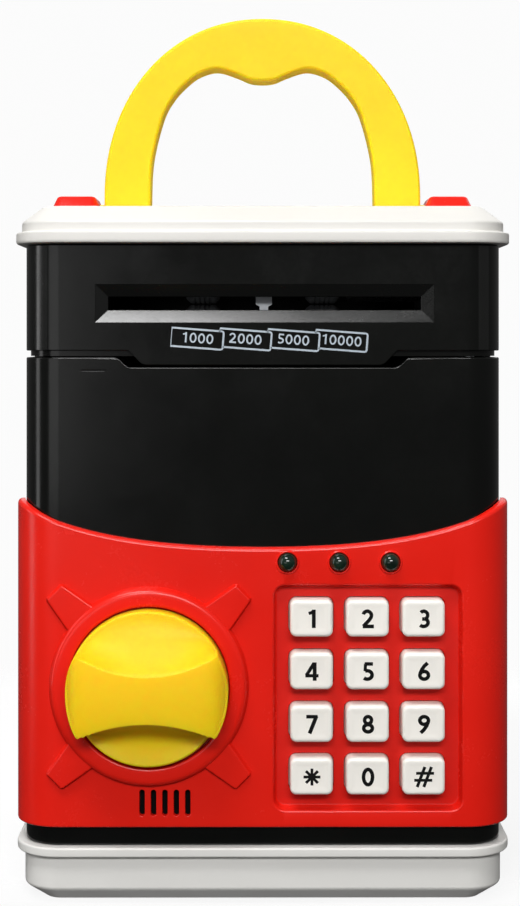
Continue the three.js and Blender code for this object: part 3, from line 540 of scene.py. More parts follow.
natural = moulded("natural_nylon", (0.80, 0.79, 0.72), (0.72, 0.70, 0.62), (0.40, 0.55))
ink = moulded("black_ink", (0.002, 0.002, 0.002), (0.004, 0.004, 0.004), (0.6, 0.75), 0.0,
              specular=0.12)
pale_ink = moulded("pale_ink", (0.52, 0.58, 0.64), (0.38, 0.44, 0.50), (0.5, 0.65), 0.0)
felt = moulded("black_felt", (0.002, 0.002, 0.002), (0.004, 0.004, 0.004), (0.9, 1.0),
               grain=0.00005, specular=0.1)
sleeve = moulded("cell_sleeve", (0.04, 0.14, 0.38), (0.03, 0.10, 0.30), (0.2, 0.34))
steel = metal("plated_steel", (0.62, 0.63, 0.64), (0.22, 0.42), (1, 1, 8))
brass = metal("turned_brass", (0.72, 0.50, 0.18), (0.25, 0.42), (8, 1, 1))
lens = lens_material()
board = board_material()


# ---------- Camera, floor and light ----------

def build_camera():
    data = bpy.data.cameras.new("camera")
    data.sensor_width = 36
    data.lens = 67.75
    data.shift_y = -0.1223
    data.clip_start = 0.01
    camera = bpy.data.objects.new("camera", data)
    camera.location = Vector((-1.7, -520.0, 151.8)) * MM
    camera.rotation_euler = (TAU / 4, 0, math.radians(-0.115))
    bpy.context.scene.collection.objects.link(camera)
    bpy.context.scene.camera = camera


def build_floor():
    """A paper disc, seen from above only, just below the object's foot."""
    disc = bmesh.new()
    bmesh.ops.create_circle(disc, cap_ends=True, segments=96, radius=2600)
    floor = new_object("floor", disc, floor_material())
    if floor.data.polygons[0].normal.z < 0:
        floor.data.flip_normals()
    floor.location.z = -0.05 * MM


def soft_light(name, place, aim, width, height, power):
    """A rectangular lamp at a place in metres, turned towards its aim."""
    light = bpy.data.lights.new(name, "AREA")
    light.shape = "RECTANGLE"
    light.size, light.size_y = width, height
    light.energy = power
    obj = bpy.data.objects.new(name, light)
    obj.location = place
    direction = Vector(aim) - Vector(place)
    obj.rotation_euler = direction.to_track_quat("-Z", "Y").to_euler()
    bpy.context.scene.collection.objects.link(obj)


def build_room():
    """A white backdrop for the camera, and a dim room, darker below, for the light."""
    world = bpy.data.worlds.new("studio")
    world.use_nodes = True
    graph = Graph(world.node_tree)
    room = world.node_tree.nodes["Background"]
    height = graph.add("SeparateXYZ", {0: graph.add("TexCoord", output="Generated")}, "Z")
    graph.set(room, "Color", (1, 1, 1, 1))
    graph.set(room, "Strength", graph.ranged(height, 0.05, 0.24, -0.3, 0.4))
    paper = graph.add("Background", {"Color": (1, 1, 1, 1), "Strength": 0.97})
    seen = graph.add("LightPath", output="Is Camera Ray")
    mix = graph.add("MixShader", {"Fac": seen, 1: room.outputs[0], 2: paper})
    graph.set(world.node_tree.nodes["World Output"], "Surface", mix)
    bpy.context.scene.world = world
    bpy.context.scene.view_settings.view_transform = "Standard"


build_camera()
build_floor()
soft_light("key_light", (-0.185, -0.40, 0.80), (0, -0.05, 0.12), 0.37, 0.20, 3.6)
soft_light("front_light", (0.10, -1.60, 0.90), (0, 0, 0.12), 1.0, 0.3, 20.0)
soft_light("corner_sheen", (-0.53, -1.20, 0.16), (0, 0, 0.15), 0.735, 0.36, 1.0)
soft_light("left_strip", (-0.85, -0.20, 0.30), (0, 0, 0.12), 0.2, 0.8, 1.2)
soft_light("back_light", (0.2, 0.9, 0.9), (0, 0, 0.12), 1.6, 1.1, 6.0)
soft_light("under_light", (0, 0.35, -0.80), (0, 0, 0), 0.5, 0.5, 0.6)
build_room()


# ---------- Control panel ----------

SMILE = (96.65, 1.463e-3, 2.812e-7)     # height of the top edge: in the middle, per x^2 and x^4
RECESS_C = Vector((28.25, 56.3))
RECESS = Vector((25.3, 30.2))
RECESS_DEPTH = 3.0
SPEAKER = Vector((-26.3, 28.1))
SPEAKER_PITCH = 3.07


def smile_height(x):
    low, square, fourth = SMILE
    return low + square * x ** 2 + fourth * x ** 4


def wrap_path(radius, back_y, steps=14, front_steps=40):
    """The front wrap seen from above: (point, outward normal) from left to right."""
    cx, cy = BODY_X - CORNER, -BODY_Y + CORNER
    lead = math.asin((cy - back_y) / radius) / TAU

    def corner(x, start, end):
        centre = Vector((x, cy))
        return [(centre + normal * radius, normal) for normal in bend(0, 0, 1, start, end, steps)]

    straight = [(Vector((-cx + 2 * cx * i / front_steps, cy - radius)), Vector((0, -1)))
                for i in range(1, front_steps)]
    return corner(-cx, 0.5 + lead, 0.75) + straight + corner(cx, 0.75, 1 - lead)


def panel_skin():
    """The wrap-around skin: one rounded cross-section carried along the front of the body."""
    thick, top_round, foot_round = 2.0, 1.3, 0.5
    foot = panel_lo.z
    foot_bend = [(depth, foot + rise) for depth, rise in quarter_round(foot_round, 3)]
    rings = []
    for point, normal in wrap_path(CORNER + SKIN, panel_hi.y):
        top = smile_height(point.x)
        section = [foot_bend[0]]
        section += [(depth, top - drop) for depth, drop in quarter_round(top_round, 5)]
        section += [(thick, top), (thick, foot)] + foot_bend[:0:-1]
        rings.append([
            (point.x - normal.x * depth, point.y - normal.y * depth, z) for depth, z in section
        ])
    return skin_rings(rings)


def knob_ring():
    """Raised ring around the knob, with a soft outer shoulder."""
    profile = [
        (21.62, -1.2), (27.0, -1.2), (26.85, 0.1), (26.6, 0.6), (26.25, 1.5), (25.85, 2.0),
        (25.3, 2.25), (24.6, 2.3), (22.5, 2.3), (22.0, 2.2), (21.72, 1.95), (21.62, 1.6),
        (21.62, -1.2),
    ]
    return turned(profile, (KNOB_C.x, PANEL_FRONT, KNOB_C.z), steps=112)


def ring_arm(degrees):
    """One of four arms that run outwards from the ring and narrow towards their tips."""
    angle = math.radians(degrees)
    along = Vector((math.cos(angle), math.sin(angle)))
    across = Vector((-along.y, along.x))
    start, tip, wide, narrow, corner = 23.0, 35.9, 5.2, 3.0, 0.5
    side = [(start, wide), (tip - corner, narrow), (tip, narrow - corner)]
    corners = [(out, -half) for out, half in side] + list(reversed(side))
    origin = Vector((KNOB_C.x, KNOB_C.z))
    outline = [origin + along * out + across * half for out, half in corners]
    stages = [(1.0, 0.5), (0.05, 0.35), (-0.35, 0.12), (-1.0, -0.05), (-1.3, -0.25), (-1.45, -0.6)]
    return along_y(outline, [(PANEL_FRONT + y, out) for y, out in stages])


def lamp_collar(lamp):
    """A low rim around a lamp's hole."""
    profile = [
        (LAMP_HOLE, -1.0), (3.3, -1.0), (3.2, 0.05), (3.08, 0.38), (2.92, 0.5), (2.78, 0.48),
        (2.64, 0.36), (LAMP_HOLE, 0.2), (LAMP_HOLE, -1.0),
    ]
    return turned(profile, (lamp.x, PANEL_FRONT, lamp.z), steps=48)


def keypad_recess():
    """A cutter with a soft mouth, steep walls and a rounded foot."""
    rim = rounded_rectangle(RECESS.x, RECESS.y, 3.0, *RECESS_C)
    floor = rounded_rectangle(RECESS.x - 0.5, RECESS.y - 0.5, 2.6, *RECESS_C)
    stages = [(-2.0, rim, 0.6), (-0.02, rim, 0.6), (0.08, rim, 0.33), (0.24, rim, 0.12),
              (0.5, rim, 0.0), (RECESS_DEPTH - 0.7, floor, 0.04),
              (RECESS_DEPTH - 0.35, floor, -0.08), (RECESS_DEPTH - 0.1, floor, -0.3),
              (RECESS_DEPTH, floor, -0.65)]
    return skin_rings([
        [(p.x, PANEL_FRONT + y, p.y) for p in grow(outline, outset)]
        for y, outline, outset in stages
    ])


def build_panel():
    panel = new_object("red_panel", panel_skin(), red, 30)
    tray = rounded_rectangle(RECESS.x + 1.2, RECESS.y + 1.2, 3.4, *RECESS_C)
    joins = [knob_ring()] + [ring_arm(degrees) for degrees in (45, 135, 225, 315)]
    joins.append(frontal(tray, PANEL_FRONT + 0.8, PANEL_FRONT + RECESS_DEPTH + 1.9))
    combine(panel, joins + [lamp_collar(lamp) for lamp in LAMPS], "UNION")

    tray_floor = PANEL_FRONT + RECESS_DEPTH
    cuts = [keypad_recess()]
    for name in KEY_NAMES:
        key = middle(name)
        hole = rounded_rectangle(KEY_HALF.x + 0.3, KEY_HALF.y + 0.2, 2.2,
                                 key.x, key.z - KEY_DROP, 5)
        cuts.append(flared(hole, tray_floor, tray_floor + 4, 0.3))
    for index in range(-2, 3):
        slot = rounded_rectangle(0.7, 3.5, 0.68, SPEAKER.x + index * SPEAKER_PITCH, SPEAKER.y, 5)
        cuts.append(flared(slot, PANEL_FRONT, PANEL_FRONT + 5, 0.25))
    for radius, spot in [(LAMP_HOLE, lamp) for lamp in LAMPS] + [(SPINDLE_HOLE, KNOB_C)]:
        cuts.append(frontal(circle(radius, spot.x, spot.z), PANEL_FRONT - 2, PANEL_FRONT + 5))
    combine(panel, cuts)
    # The recess floor takes the rougher red with painted shade.
    tint_faces(panel, red_recess_painted_shade, lambda spot, normal: (
        normal.y < -0.9 and abs(spot.y - tray_floor) < 0.1))
    even_normals(panel, 32)
    settle(panel, "door", "red_plastic", "control_panel")

    cloth = frontal(rounded_rectangle(7.7, 3.8, 1, *SPEAKER, 4), PANEL_FRONT + 2.15, PANEL_FRONT + 2.5)
    settle(new_object("speaker_cloth", cloth, felt), "door", "dark_plastic")


build_panel()


# ---------- Knob ----------

def build_knob():
    """A polar height field: a flat crown, rounded off at its ends, and a scoop above and below
    the waisted grip bar. The scoop above is soft-edged, the one below undercuts the bar."""
    rim, lip = 4.4, 0.6
    back = knob_hi.y
    top = back - knob_lo.y

    def dome(x, z):
        across = abs(x) / 21.45
        return top - 2.0 * across ** 2 - 4.6 * across ** 12 - 0.006 * z * z

    def smooth_min(a, b, k):
        h = max(0.0, min(1.0, 0.5 + 0.5 * (b - a) / k))
        return b * (1 - h) + a * h - k * h * (1 - h)

    def height(r, angle):
        x, z = r * math.cos(angle), r * math.sin(angle)
        crest = dome(x, z)
        edge = 5.4 + 4.8 * (x / 18.0) ** 2 if z > 0 else -(6.8 + 4.4 * (x / 17.6) ** 2)
        beyond = (z - edge) if z > 0 else (edge - z)
        reach = math.sqrt(max(0.0, 20.9 ** 2 - x * x)) - abs(edge)
        if reach <= 0.4:
            return crest
        t = max(-0.4, min(1.0, beyond / reach))
        power = 2.1 if z > 0 else 5.0
        start = dome(x, edge) + (0.15 if z > 0 else 0.9)
        floor = rim + (1.7 if z > 0 else -1.0)
        slope = (1 - t) if t >= 0 else 1 + abs(t) * 6
        scoop = floor + (start - floor) * slope ** power
        if z < 0:
            scoop += 2.2 * max(0.0, t - 0.3) ** 1.5
        return smooth_min(crest, scoop, 0.9 if z > 0 else 0.4)

    def reach_at(angle):
        """Outer radius: the bar's ends stand out over the disc below them."""
        z = math.sin(angle)
        if z < -0.56:
            return 20.6
        if z < -0.51:
            return 20.6 + 0.85 * (z + 0.56) / 0.05
        return 21.45 - 0.35 * max(0.0, z) ** 2

    rays, rings = 360, 130
    bm = bmesh.new()

    def point(r, angle, h):
        return bm.verts.new(
            (KNOB_C.x + r * math.cos(angle), back - h, KNOB_C.z + r * math.sin(angle)))

    angles = [TAU * ray / rays for ray in range(rays)]
    edges = [reach_at(a) for a in angles]
    shoulder = [height(edge - lip, a) for edge, a in zip(edges, angles)]
    grid = []
    for ring in range(1, rings + 1):
        share = (ring / rings) ** 0.9
        grid.append([point((edge - lip) * share, a, height((edge - lip) * share, a))
                     for edge, a in zip(edges, angles)])
    for drawn_in, left in quarter_round(lip, 6)[1:]:
        grid.append([point(edge - left, a, h - drawn_in)
                     for edge, a, h in zip(edges, angles, shoulder)])
    for drop, inset in ((0.3, 0.0), (0.0, 0.3)):
        grid.append([point(edge - inset, a, drop) for edge, a in zip(edges, angles)])
    hub = point(0, 0, height(0, 0))
    for ray in range(rays):
        after = (ray + 1) % rays
        bm.faces.new((hub, grid[0][ray], grid[0][after]))
        for low, high in zip(grid, grid[1:]):
            bm.faces.new((low[ray], high[ray], high[after], low[after]))
    bm.faces.new(grid[-1])
    settle(new_object("turn_knob", bm, knob_yellow, 50), "knob", "yellow_plastic", "knob")


build_knob()


# ---------- Printed figures ----------

def arc(x, y, rx, ry, start, end, steps=20):
    return [
        (x + rx * math.cos(math.radians(start + (end - start) * i / steps)),
         y + ry * math.sin(math.radians(start + (end - start) * i / steps)))
        for i in range(steps + 1)
    ]


# Each figure is a list of (pen width, points), on a body 1 high.
FIGURES = {
    "0": [(0.17, arc(0.32, 0.5, 0.245, 0.415, 0, 360, 40))],
    "1": [(0.18, [(0.42, 0), (0.42, 1)]), (0.15, [(0.40, 0.90), (0.28, 0.83), (0.14, 0.79)])],
    "2": [(0.17, arc(0.30, 0.68, 0.225, 0.235, 165, -28) + [(0.40, 0.42), (0.08, 0.09)]),
          (0.17, [(0.05, 0.085), (0.66, 0.085)])],
    "3": [(0.165, arc(0.26, 0.70, 0.215, 0.215, 140, -75)), (0.165, [(0.17, 0.49), (0.30, 0.49)]),
          (0.17, arc(0.25, 0.295, 0.245, 0.21, 75, -140))],
    "4": [(0.16, [(0.50, 0.96), (0.08, 0.30)]), (0.15, [(0.02, 0.27), (0.74, 0.27)]),
          (0.18, [(0.53, 0), (0.53, 1)])],
    "5": [(0.165, [(0.13, 0.915), (0.58, 0.915)]), (0.15, [(0.175, 0.93), (0.15, 0.52)]),
          (0.17, arc(0.27, 0.315, 0.26, 0.23, 118, -135))],
    "6": [(0.17, [(0.52, 0.97), (0.34, 0.80), (0.20, 0.60), (0.115, 0.40)]),
          (0.17, arc(0.33, 0.295, 0.235, 0.21, 0, 360, 36))],
    "7": [(0.165, [(0.02, 0.915), (0.64, 0.915)]), (0.18, [(0.58, 0.95), (0.20, 0)])],
    "8": [(0.165, arc(0.32, 0.725, 0.19, 0.195, 0, 360, 36)),
          (0.17, arc(0.32, 0.285, 0.235, 0.2, 0, 360, 36))],
    "9": [(0.17, [(0.14, 0.03), (0.32, 0.20), (0.46, 0.40), (0.545, 0.60)]),
          (0.17, arc(0.33, 0.705, 0.235, 0.21, 0, 360, 36))],
    "star": [(0.13, [(0.46 - 0.46 * math.cos(a), 0.5 - 0.46 * math.sin(a)),
                     (0.46 + 0.46 * math.cos(a), 0.5 + 0.46 * math.sin(a))])
             for a in (0, TAU / 8, TAU / 4, 3 * TAU / 8)],
    "hash": [(0.14, [(0.16, -0.05), (0.58, 1.05)]), (0.14, [(0.52, -0.05), (0.94, 1.05)]),
             (0.13, [(0.10, 0.70), (1.08, 0.70)]), (0.13, [(0.0, 0.32), (0.98, 0.32)])],
}
FIGURE_WIDTHS = {"0": 0.64, "1": 0.64, "2": 0.68, "3": 0.56, "4": 0.76, "5": 0.62, "6": 0.66,
                 "7": 0.66, "8": 0.64, "9": 0.66, "star": 0.92, "hash": 1.08}


def pen_stroke(bm, points, width, depth, place):
    """A flat pen line through points, drawn on a face by place(x, y, out)."""
    points = [Vector(p) for p in points]
    closed = (points[0] - points[-1]).length < 1e-4
    if closed:
        points = points[:-1]
    rails = []
    count = len(points)
    for i, point in enumerate(points):
        before = points[i - 1] if closed or i else point
        after = points[(i + 1) % count] if closed or i < count - 1 else point
        along = (after - before).normalized()
        across = Vector((-along.y, along.x)) * width / 2
        section = ((across, depth), (-across, depth), (-across, 0), (across, 0))
        rails.append([bm.verts.new(place(*(point + side), out)) for side, out in section])
    for i in range(count if closed else count - 1):
        here, after = rails[i], rails[(i + 1) % count]
        for k in range(4):
            m = (k + 1) % 4
            bm.faces.new((here[k], here[m], after[m], after[k]))
    if not closed:
        bm.faces.new(rails[0])
        bm.faces.new(list(reversed(rails[-1])))


def draw_figures(bm, text, height, place, weight, spacing=0.0, widen=1.0):
    """Draws figures side by side, centred on the place's origin."""
    total = sum(FIGURE_WIDTHS[c] * widen for c in text) + spacing * (len(text) - 1)
    x = -total / 2
    for c in text:
        for index, (pen, points) in enumerate(FIGURES[c]):
            moved = [((x + px * widen) * height, (py - 0.5) * height) for px, py in points]
            pen_stroke(bm, moved, pen * weight * height, 0.05 + 0.006 * index, place)
        x += FIGURE_WIDTHS[c] * widen + spacing


# ---------- Keys and lamps ----------

def build_key(name):
    """A keycap with a flange behind the panel and a dished top, and its printed figure."""
    lo, hi = cad(name)
    key = middle(name)
    front, back, figure = lo.y, hi.y, name[4:]
    stages = [(back, 0.75), (back - 0.9, 0.75), (back - 0.95, 0.0), (front + 2.2, -0.02)]
    stages += [(front + 0.95 * left, -0.08 - 0.85 * drawn_in)
               for drawn_in, left in quarter_round(1, 6)]
    stages += [(front + 0.03, -1.6), (front + 0.10, -2.2)]
    rings = []
    for y, out in stages:
        outline = rounded_rectangle(KEY_HALF.x + out, KEY_HALF.y + out, max(0.5, 1.75 + out),
                                    key.x, key.z - KEY_DROP, 7)
        rings.append([(p.x, y, p.y) for p in outline])
    settle(new_object(f"keycap_{figure}", skin_rings(rings), key_white, 60),
           name, "key_plastic", name)

    bm = bmesh.new()
    draw_figures(bm, [figure], 4.9, lambda u, v, out: Vector(
        (key.x + 0.1 + u, front + 0.11 - out, key.z + v - 0.45)), 1.18)
    settle(new_object(f"figure_{figure}", bm, ink, 30), name, "dark_plastic")


def build_lamp(side):
    """A domed lamp with a flange behind the panel."""
    lo, hi = cad(f"led_{side}")
    radius = 2.5
    straight = hi.y - lo.y - radius
    profile = [(0, 0), (2.9, 0), (2.9, 0.9), (radius, 1.0)]
    profile += [(p.x, straight + p.y) for p in bend(0, 0, radius, 0, 0.25, 12)[:-1]]
    profile.append((0, straight + radius))
    lamp = middle(f"led_{side}")
    lamp = new_object(f"lamp_{side}", turned(profile, (lamp.x, hi.y, lamp.z), steps=48), lens, 50)
    settle(lamp, "door", "lamp_lens", f"led_{side}")


for name in KEY_NAMES:
    build_key(name)
for side in SIDES:
    build_lamp(side)


# ---------- Door ----------

TAB_X, DOOR_TAB = 36.5, 145.0           # the step in the door's top edge
FRONT_WALL = (-BODY_Y - 1, -57)         # a cut from the front through the wall


def door_outline(inset, back_y):
    points = [Vector((-BODY_X + inset, back_y))] + body_front(inset)
    points += bend(HINGE.x, HINGE.y, HINGE_R - inset, 0, 0.25, 14)
    if back_y > HINGE.y + HINGE_R - inset + 0.01:
        points.append(Vector((HINGE.x, back_y)))
    return points


def build_door():
    top, bottom = door_hi.z, BASE_TOP + 0.25
    shell = new_object("door_body", upright(door_outline(0, SEAM_Y), bottom, top, 0.35, 3), black)
    step_half = TAB_X + top - DOOR_TAB
    step = soft_corners([
        (-step_half - 6, top + 0.02), (-step_half, top + 0.02), (-TAB_X, DOOR_TAB),
        (TAB_X, DOOR_TAB), (step_half, top + 0.02), (step_half + 6, top + 0.02),
    ])
    step = [Vector((-step_half - 6, top + 5))] + step + [Vector((step_half + 6, top + 5))]
    combine(shell, [frontal(step, -BODY_Y - 1, SEAM_Y + 1)])
    round_edges(shell, 0.32, 3, 50)

    windows = [block(x - half_x, x + half_x, *FRONT_WALL, z - half_z, z + half_z)
               for x, z, half_x, half_z in ((28.0, 57.15, 27, 32.2), (-26.3, 28.3, 8, 4))]
    for radius, spot in [(SPINDLE_HOLE, KNOB_C)] + [(3.3, lamp) for lamp in LAMPS]:
        windows.append(frontal(circle(radius, spot.x, spot.z, 32), *FRONT_WALL))
    for z0, z1 in ((bottom - 1, 24.6), (140.4, top + 1)):
        windows.append(upright(circle(1.8, HINGE.x, HINGE.y, 32), z0, z1))
    bosses = [upright(circle(5, HINGE.x, HINGE.y, 40), z0, z1)
              for z0, z1 in ((bottom + 0.5, 25.5), (139.5, top - 0.5))]
    mark = rounded_rectangle(3.2, 0.22, 0.2, -45.6, 144.2, 3)
    combine(shell, [upright(door_outline(WALL, SEAM_Y + 2), bottom + WALL, DOOR_TAB - WALL)])
    combine(shell, bosses, "UNION")
    combine(shell, windows + [flared(mark, -BODY_Y, -BODY_Y + 0.5, 0.12)])
    even_normals(shell, 40)
    settle(shell, "door", "black_plastic", "door_shell")


build_door()


# ---------- Upper front with the note slot ----------

SLOT = Vector((0.5, 162.3))
SLOT_HALF = Vector((42.4, 1.8))
SLOT_BEVEL = 3.3
FASCIA_FOOT = 149.5


def front_band(inset, depth, back_y):
    """A band that follows the case's front from one side edge round to the other."""
    outer, inner = [
        [Vector((-BODY_X + edge, back_y))] + body_front(edge) + [Vector((BODY_X - edge, back_y))]
        for edge in (inset, inset + depth)
    ]
    return outer + list(reversed(inner))


def build_fascia():
    foot = FASCIA_FOOT
    band = upright(front_band(0, WALL, SEAM_Y), foot, fascia_hi.z, 0.3, 3)
    shell = new_object("upper_front", band, black)
    low = fascia_lo.z
    dip = foot - low
    tab = soft_corners([
        (-TAB_X - 3, foot + 1.5), (-TAB_X, foot + 0.2), (-TAB_X + dip, low),
        (TAB_X - dip, low), (TAB_X, foot + 0.2), (TAB_X + 3, foot + 1.5),
    ])
    wide = SLOT_HALF + Vector((SLOT_BEVEL, SLOT_BEVEL))
    collar = rounded_rectangle(wide.x + 2.5, wide.y + 2, 1, *SLOT, 3)
    combine(shell, [
        frontal(tab, -BODY_Y, -BODY_Y + WALL, 0.3, 3),
        upright(front_band(1.2, WALL, SEAM_Y - 0.3), door_hi.z + 0.35, foot + 2),
        frontal(collar, -BODY_Y + 0.6, -56.5),
    ], "UNION")
    mouth = [SLOT + Vector((sx * SLOT_HALF.x, sz * SLOT_HALF.y))
             for sx, sz in ((1, -1), (1, 1), (-1, 1), (-1, -1))]
    stages = [(-3.0, SLOT_BEVEL + 0.12), (-0.02, SLOT_BEVEL + 0.12), (0.06, SLOT_BEVEL - 0.03),
              (2.05, 0.12), (2.2, 0.0), (5.0, 0.0)]
    combine(shell, [along_y(mouth, [(-BODY_Y + y, out) for y, out in stages])])
    tint_faces(shell, gloss_black, lambda spot, normal: (
        -BODY_Y + 0.05 < spot.y < -BODY_Y + 2.1 and 0.3 < -normal.y < 0.95
        and abs(spot.z - SLOT.y) < wide.y + 0.2))
    even_normals(shell, 25)
    settle(shell, "case", "black_plastic", "front_fascia")


def build_value_labels():
    """Four overlapping printed note outlines with their values, slightly tilted."""
    tilt = math.radians(-4.4)
    pitch = Vector((12.95, -0.2))
    along = Vector((math.cos(tilt), math.sin(tilt)))
    up = Vector((-along.y, along.x))
    w, h = 7.0, 2.475
    for index, text in enumerate(("1000", "2000", "5000", "10000")):
        centre = Vector((-17.7, 152.75)) + pitch * index

        def place(u, v, out):
            spot = centre + along * u + up * v
            return Vector((spot.x, -BODY_Y - out + 0.01, spot.y))

        # Each note after the first lies under its neighbour, which hides most of its left edge.
        start = -w if index == 0 else w - pitch.x
        end = (-w, -h) if index == 0 else (-w, h - 1.0)
        frame_line = [(start, -h), (w - 0.5, -h), (w - 0.15, -h + 0.15), (w, -h + 0.5),
                      (w, h - 0.5), (w - 0.15, h - 0.15), (w - 0.5, h), (-w, h), end]
        bm = bmesh.new()
        pen_stroke(bm, frame_line, 0.5, 0.05, place)
        draw_figures(bm, text, 2.75, lambda u, v, out: place(u, v + 0.15, out), 0.92, 0.13, 1.08)
        settle(new_object(f"value_{text}", bm, pale_ink, 30), "case", "grey_plastic")


build_fascia()
build_value_labels()


# ---------- Rear housing ----------

BACK_SCREWS = [(x, z) for z in (34, 160) for x in (-46, 46)]


def back_band(inset):
    """The back of the housing seen from above, from the right edge to the left."""
    x, y, radius = BODY_X - CORNER, body_hi.y - CORNER, CORNER - inset
    return ([Vector((BODY_X - inset, body_lo.y))] + bend(x, y, radius, 0, 0.25, 14)
            + bend(-x, y, radius, 0.25, 0.5, 14) + [Vector((-BODY_X + inset, body_lo.y))])


def build_housing():
    outline = back_band(0) + list(reversed(back_band(WALL)))
    shell = new_object("rear_shell", upright(outline, body_lo.z, body_hi.z, 0.35, 3), black)
    recess = [(0, -1), (4.2, -1), (4.2, -0.1), (3.8, 0.1), (3.8, 1.3), (0, 1.3)]
    combine(shell, [turned(recess, (x, body_hi.y, z), steps=40) for x, z in BACK_SCREWS])
    stages = [(-0.6, 0.4), (-0.55, 0.2), (-0.1, -0.35), (0.2, -0.6), (1.0, -0.6)]
    panel = rounded_rectangle(50, 48, 6, 0, 97, 8)
    combine(shell, [along_y(panel, [(body_hi.y + y, out) for y, out in stages])])
    even_normals(shell, 35)
    settle(shell, "case", "black_plastic", "rear_housing")
    floor = new_object("compartment_floor", upright(back_band(WALL - 0.4), 19, 21, 0.2, 2), black)
    settle(floor, "case", "black_plastic")


build_housing()


# ---------- Cap and base ----------

def trim(stages):
    """The body's outline carried up through (z, outset) stages, its corners kept round."""
    return skin_rings([
        [(p.x, p.y, z) for p in rounded_rectangle(BODY_X + out, BODY_Y + out, CORNER + out, steps=14)]
        for z, out in stages
    ])


def fillet(z0, out0, z1, out1, corner_z, corner_out, steps=4):
    """A curve from one (height, outset) to another, pulled towards a corner."""
    stages = []
    for i in range(steps + 1):
        t = i / steps
        a = Vector((z0, out0)).lerp(Vector((corner_z, corner_out)), t)
        b = Vector((corner_z, corner_out)).lerp(Vector((z1, out1)), t)
        spot = a.lerp(b, t)
        stages.append((spot.x, spot.y))
    return stages


def arch(half_width, rise, foot, steps=24):
    """A slightly squared half ellipse that stands on foot, from right to left."""
    exponent = 2 / 2.1
    points = []
    for i in range(2 * steps + 1):
        angle = TAU / 2 * i / (2 * steps)
        c, s = math.cos(angle), math.sin(angle)
        points.append(Vector((
            math.copysign(half_width * abs(c) ** exponent, c), foot + rise * max(0.0, s) ** exponent)))
    return points


def handle_groove(clearance):
    """The folded handle's outline seen from above, with clearance all round."""
    front = FOLD_Y - 5 - clearance
    rise = handle_hi.z - FOLD_Z
    outer = arch(HANDLE_HALF + clearance, rise + clearance, FOLD_Y)
    inner = arch(HANDLE_HALF - HANDLE_LEG - clearance, rise - 19 - clearance, FOLD_Y)
    return [point for line in (outer, inner[::-1]) for point in (
        [Vector((line[0].x, front))] + line + [Vector((line[-1].x, front))])]


def build_cap():
    low, high = cap_lo.z, cap_hi.z
    stages = fillet(low, 1.9, low + 0.9, 2.8, low, 2.8)
    stages += fillet(high - 7.9, 2.8, high - 7.3, 2.2, high - 7.3, 2.8, 3)
    stages += fillet(high - 7.25, 1.75, high - 6.7, 1.2, high - 7.25, 1.2, 3)
    stages += fillet(high - 5.0, 1.2, high - 4.1, 0.66, high - 4.5, 1.2, 4)
    stages += fillet(high - 0.55, -4.05, high, -5.6, high, -4.8, 5)
    cap = new_object("cap", trim(stages), white, 25)
    coin = rounded_rectangle(15, 2.2, 0.5, 0, -2, 3)
    combine(cap, [sunk(handle_groove(1), high, 184.7, 0.45), sunk(coin, high, low - 1, 0.6),
                  axle(-54.8, 54.8, 2.1)])
    even_normals(cap, 28)
    settle(cap, "case", "white_plastic", "top_cap")


def screw(name, centre, radius, height, axis, *nodes, body="case"):
    """A domed screw head with a cross recess. Its top faces along the axis."""
    profile = [(0, 0), (radius, 0), (radius, height * 0.45)]
    for i in range(1, 7):
        t = i / 6
        profile.append((radius * math.cos(TAU / 4 * t * 0.92) ** 0.8 if t < 1 else 0,
                        height * (0.45 + 0.55 * math.sin(TAU / 4 * t))))
    head = new_object(name, turned(profile, (0, 0, 0), "Z", 36), steel, 40)
    long, short = radius * 0.62, radius * 0.13
    combine(head, [block(-x, x, -y, y, height * 0.3, height + 1)
                   for x, y in ((long, short), (short, long))])
    turn = Vector((0, 0, 1)).rotation_difference(Vector(axis)).to_matrix().to_4x4()
    head.data.transform(Matrix.Translation(Vector(centre) * MM) @ turn)
    smooth_by_angle(head.data, 40)
    settle(head, body, "steel", *nodes)


def cover_outline(extra):
    """The battery cover with its tongue towards the front, grown by extra."""
    lo, hi = cad("battery_cover")
    tongue, shoulder = (14.0, 26.0), 8.0
    left, right = tongue[0] - extra, tongue[1] + extra
    return [Vector(p) for p in (
        (lo.x - extra, shoulder - extra), (left, shoulder - extra), (left, lo.y - extra),
        (right, lo.y - extra), (right, shoulder - extra), (hi.x + extra, shoulder - extra),
        (hi.x + extra, hi.y + extra), (lo.x - extra, hi.y + extra))]


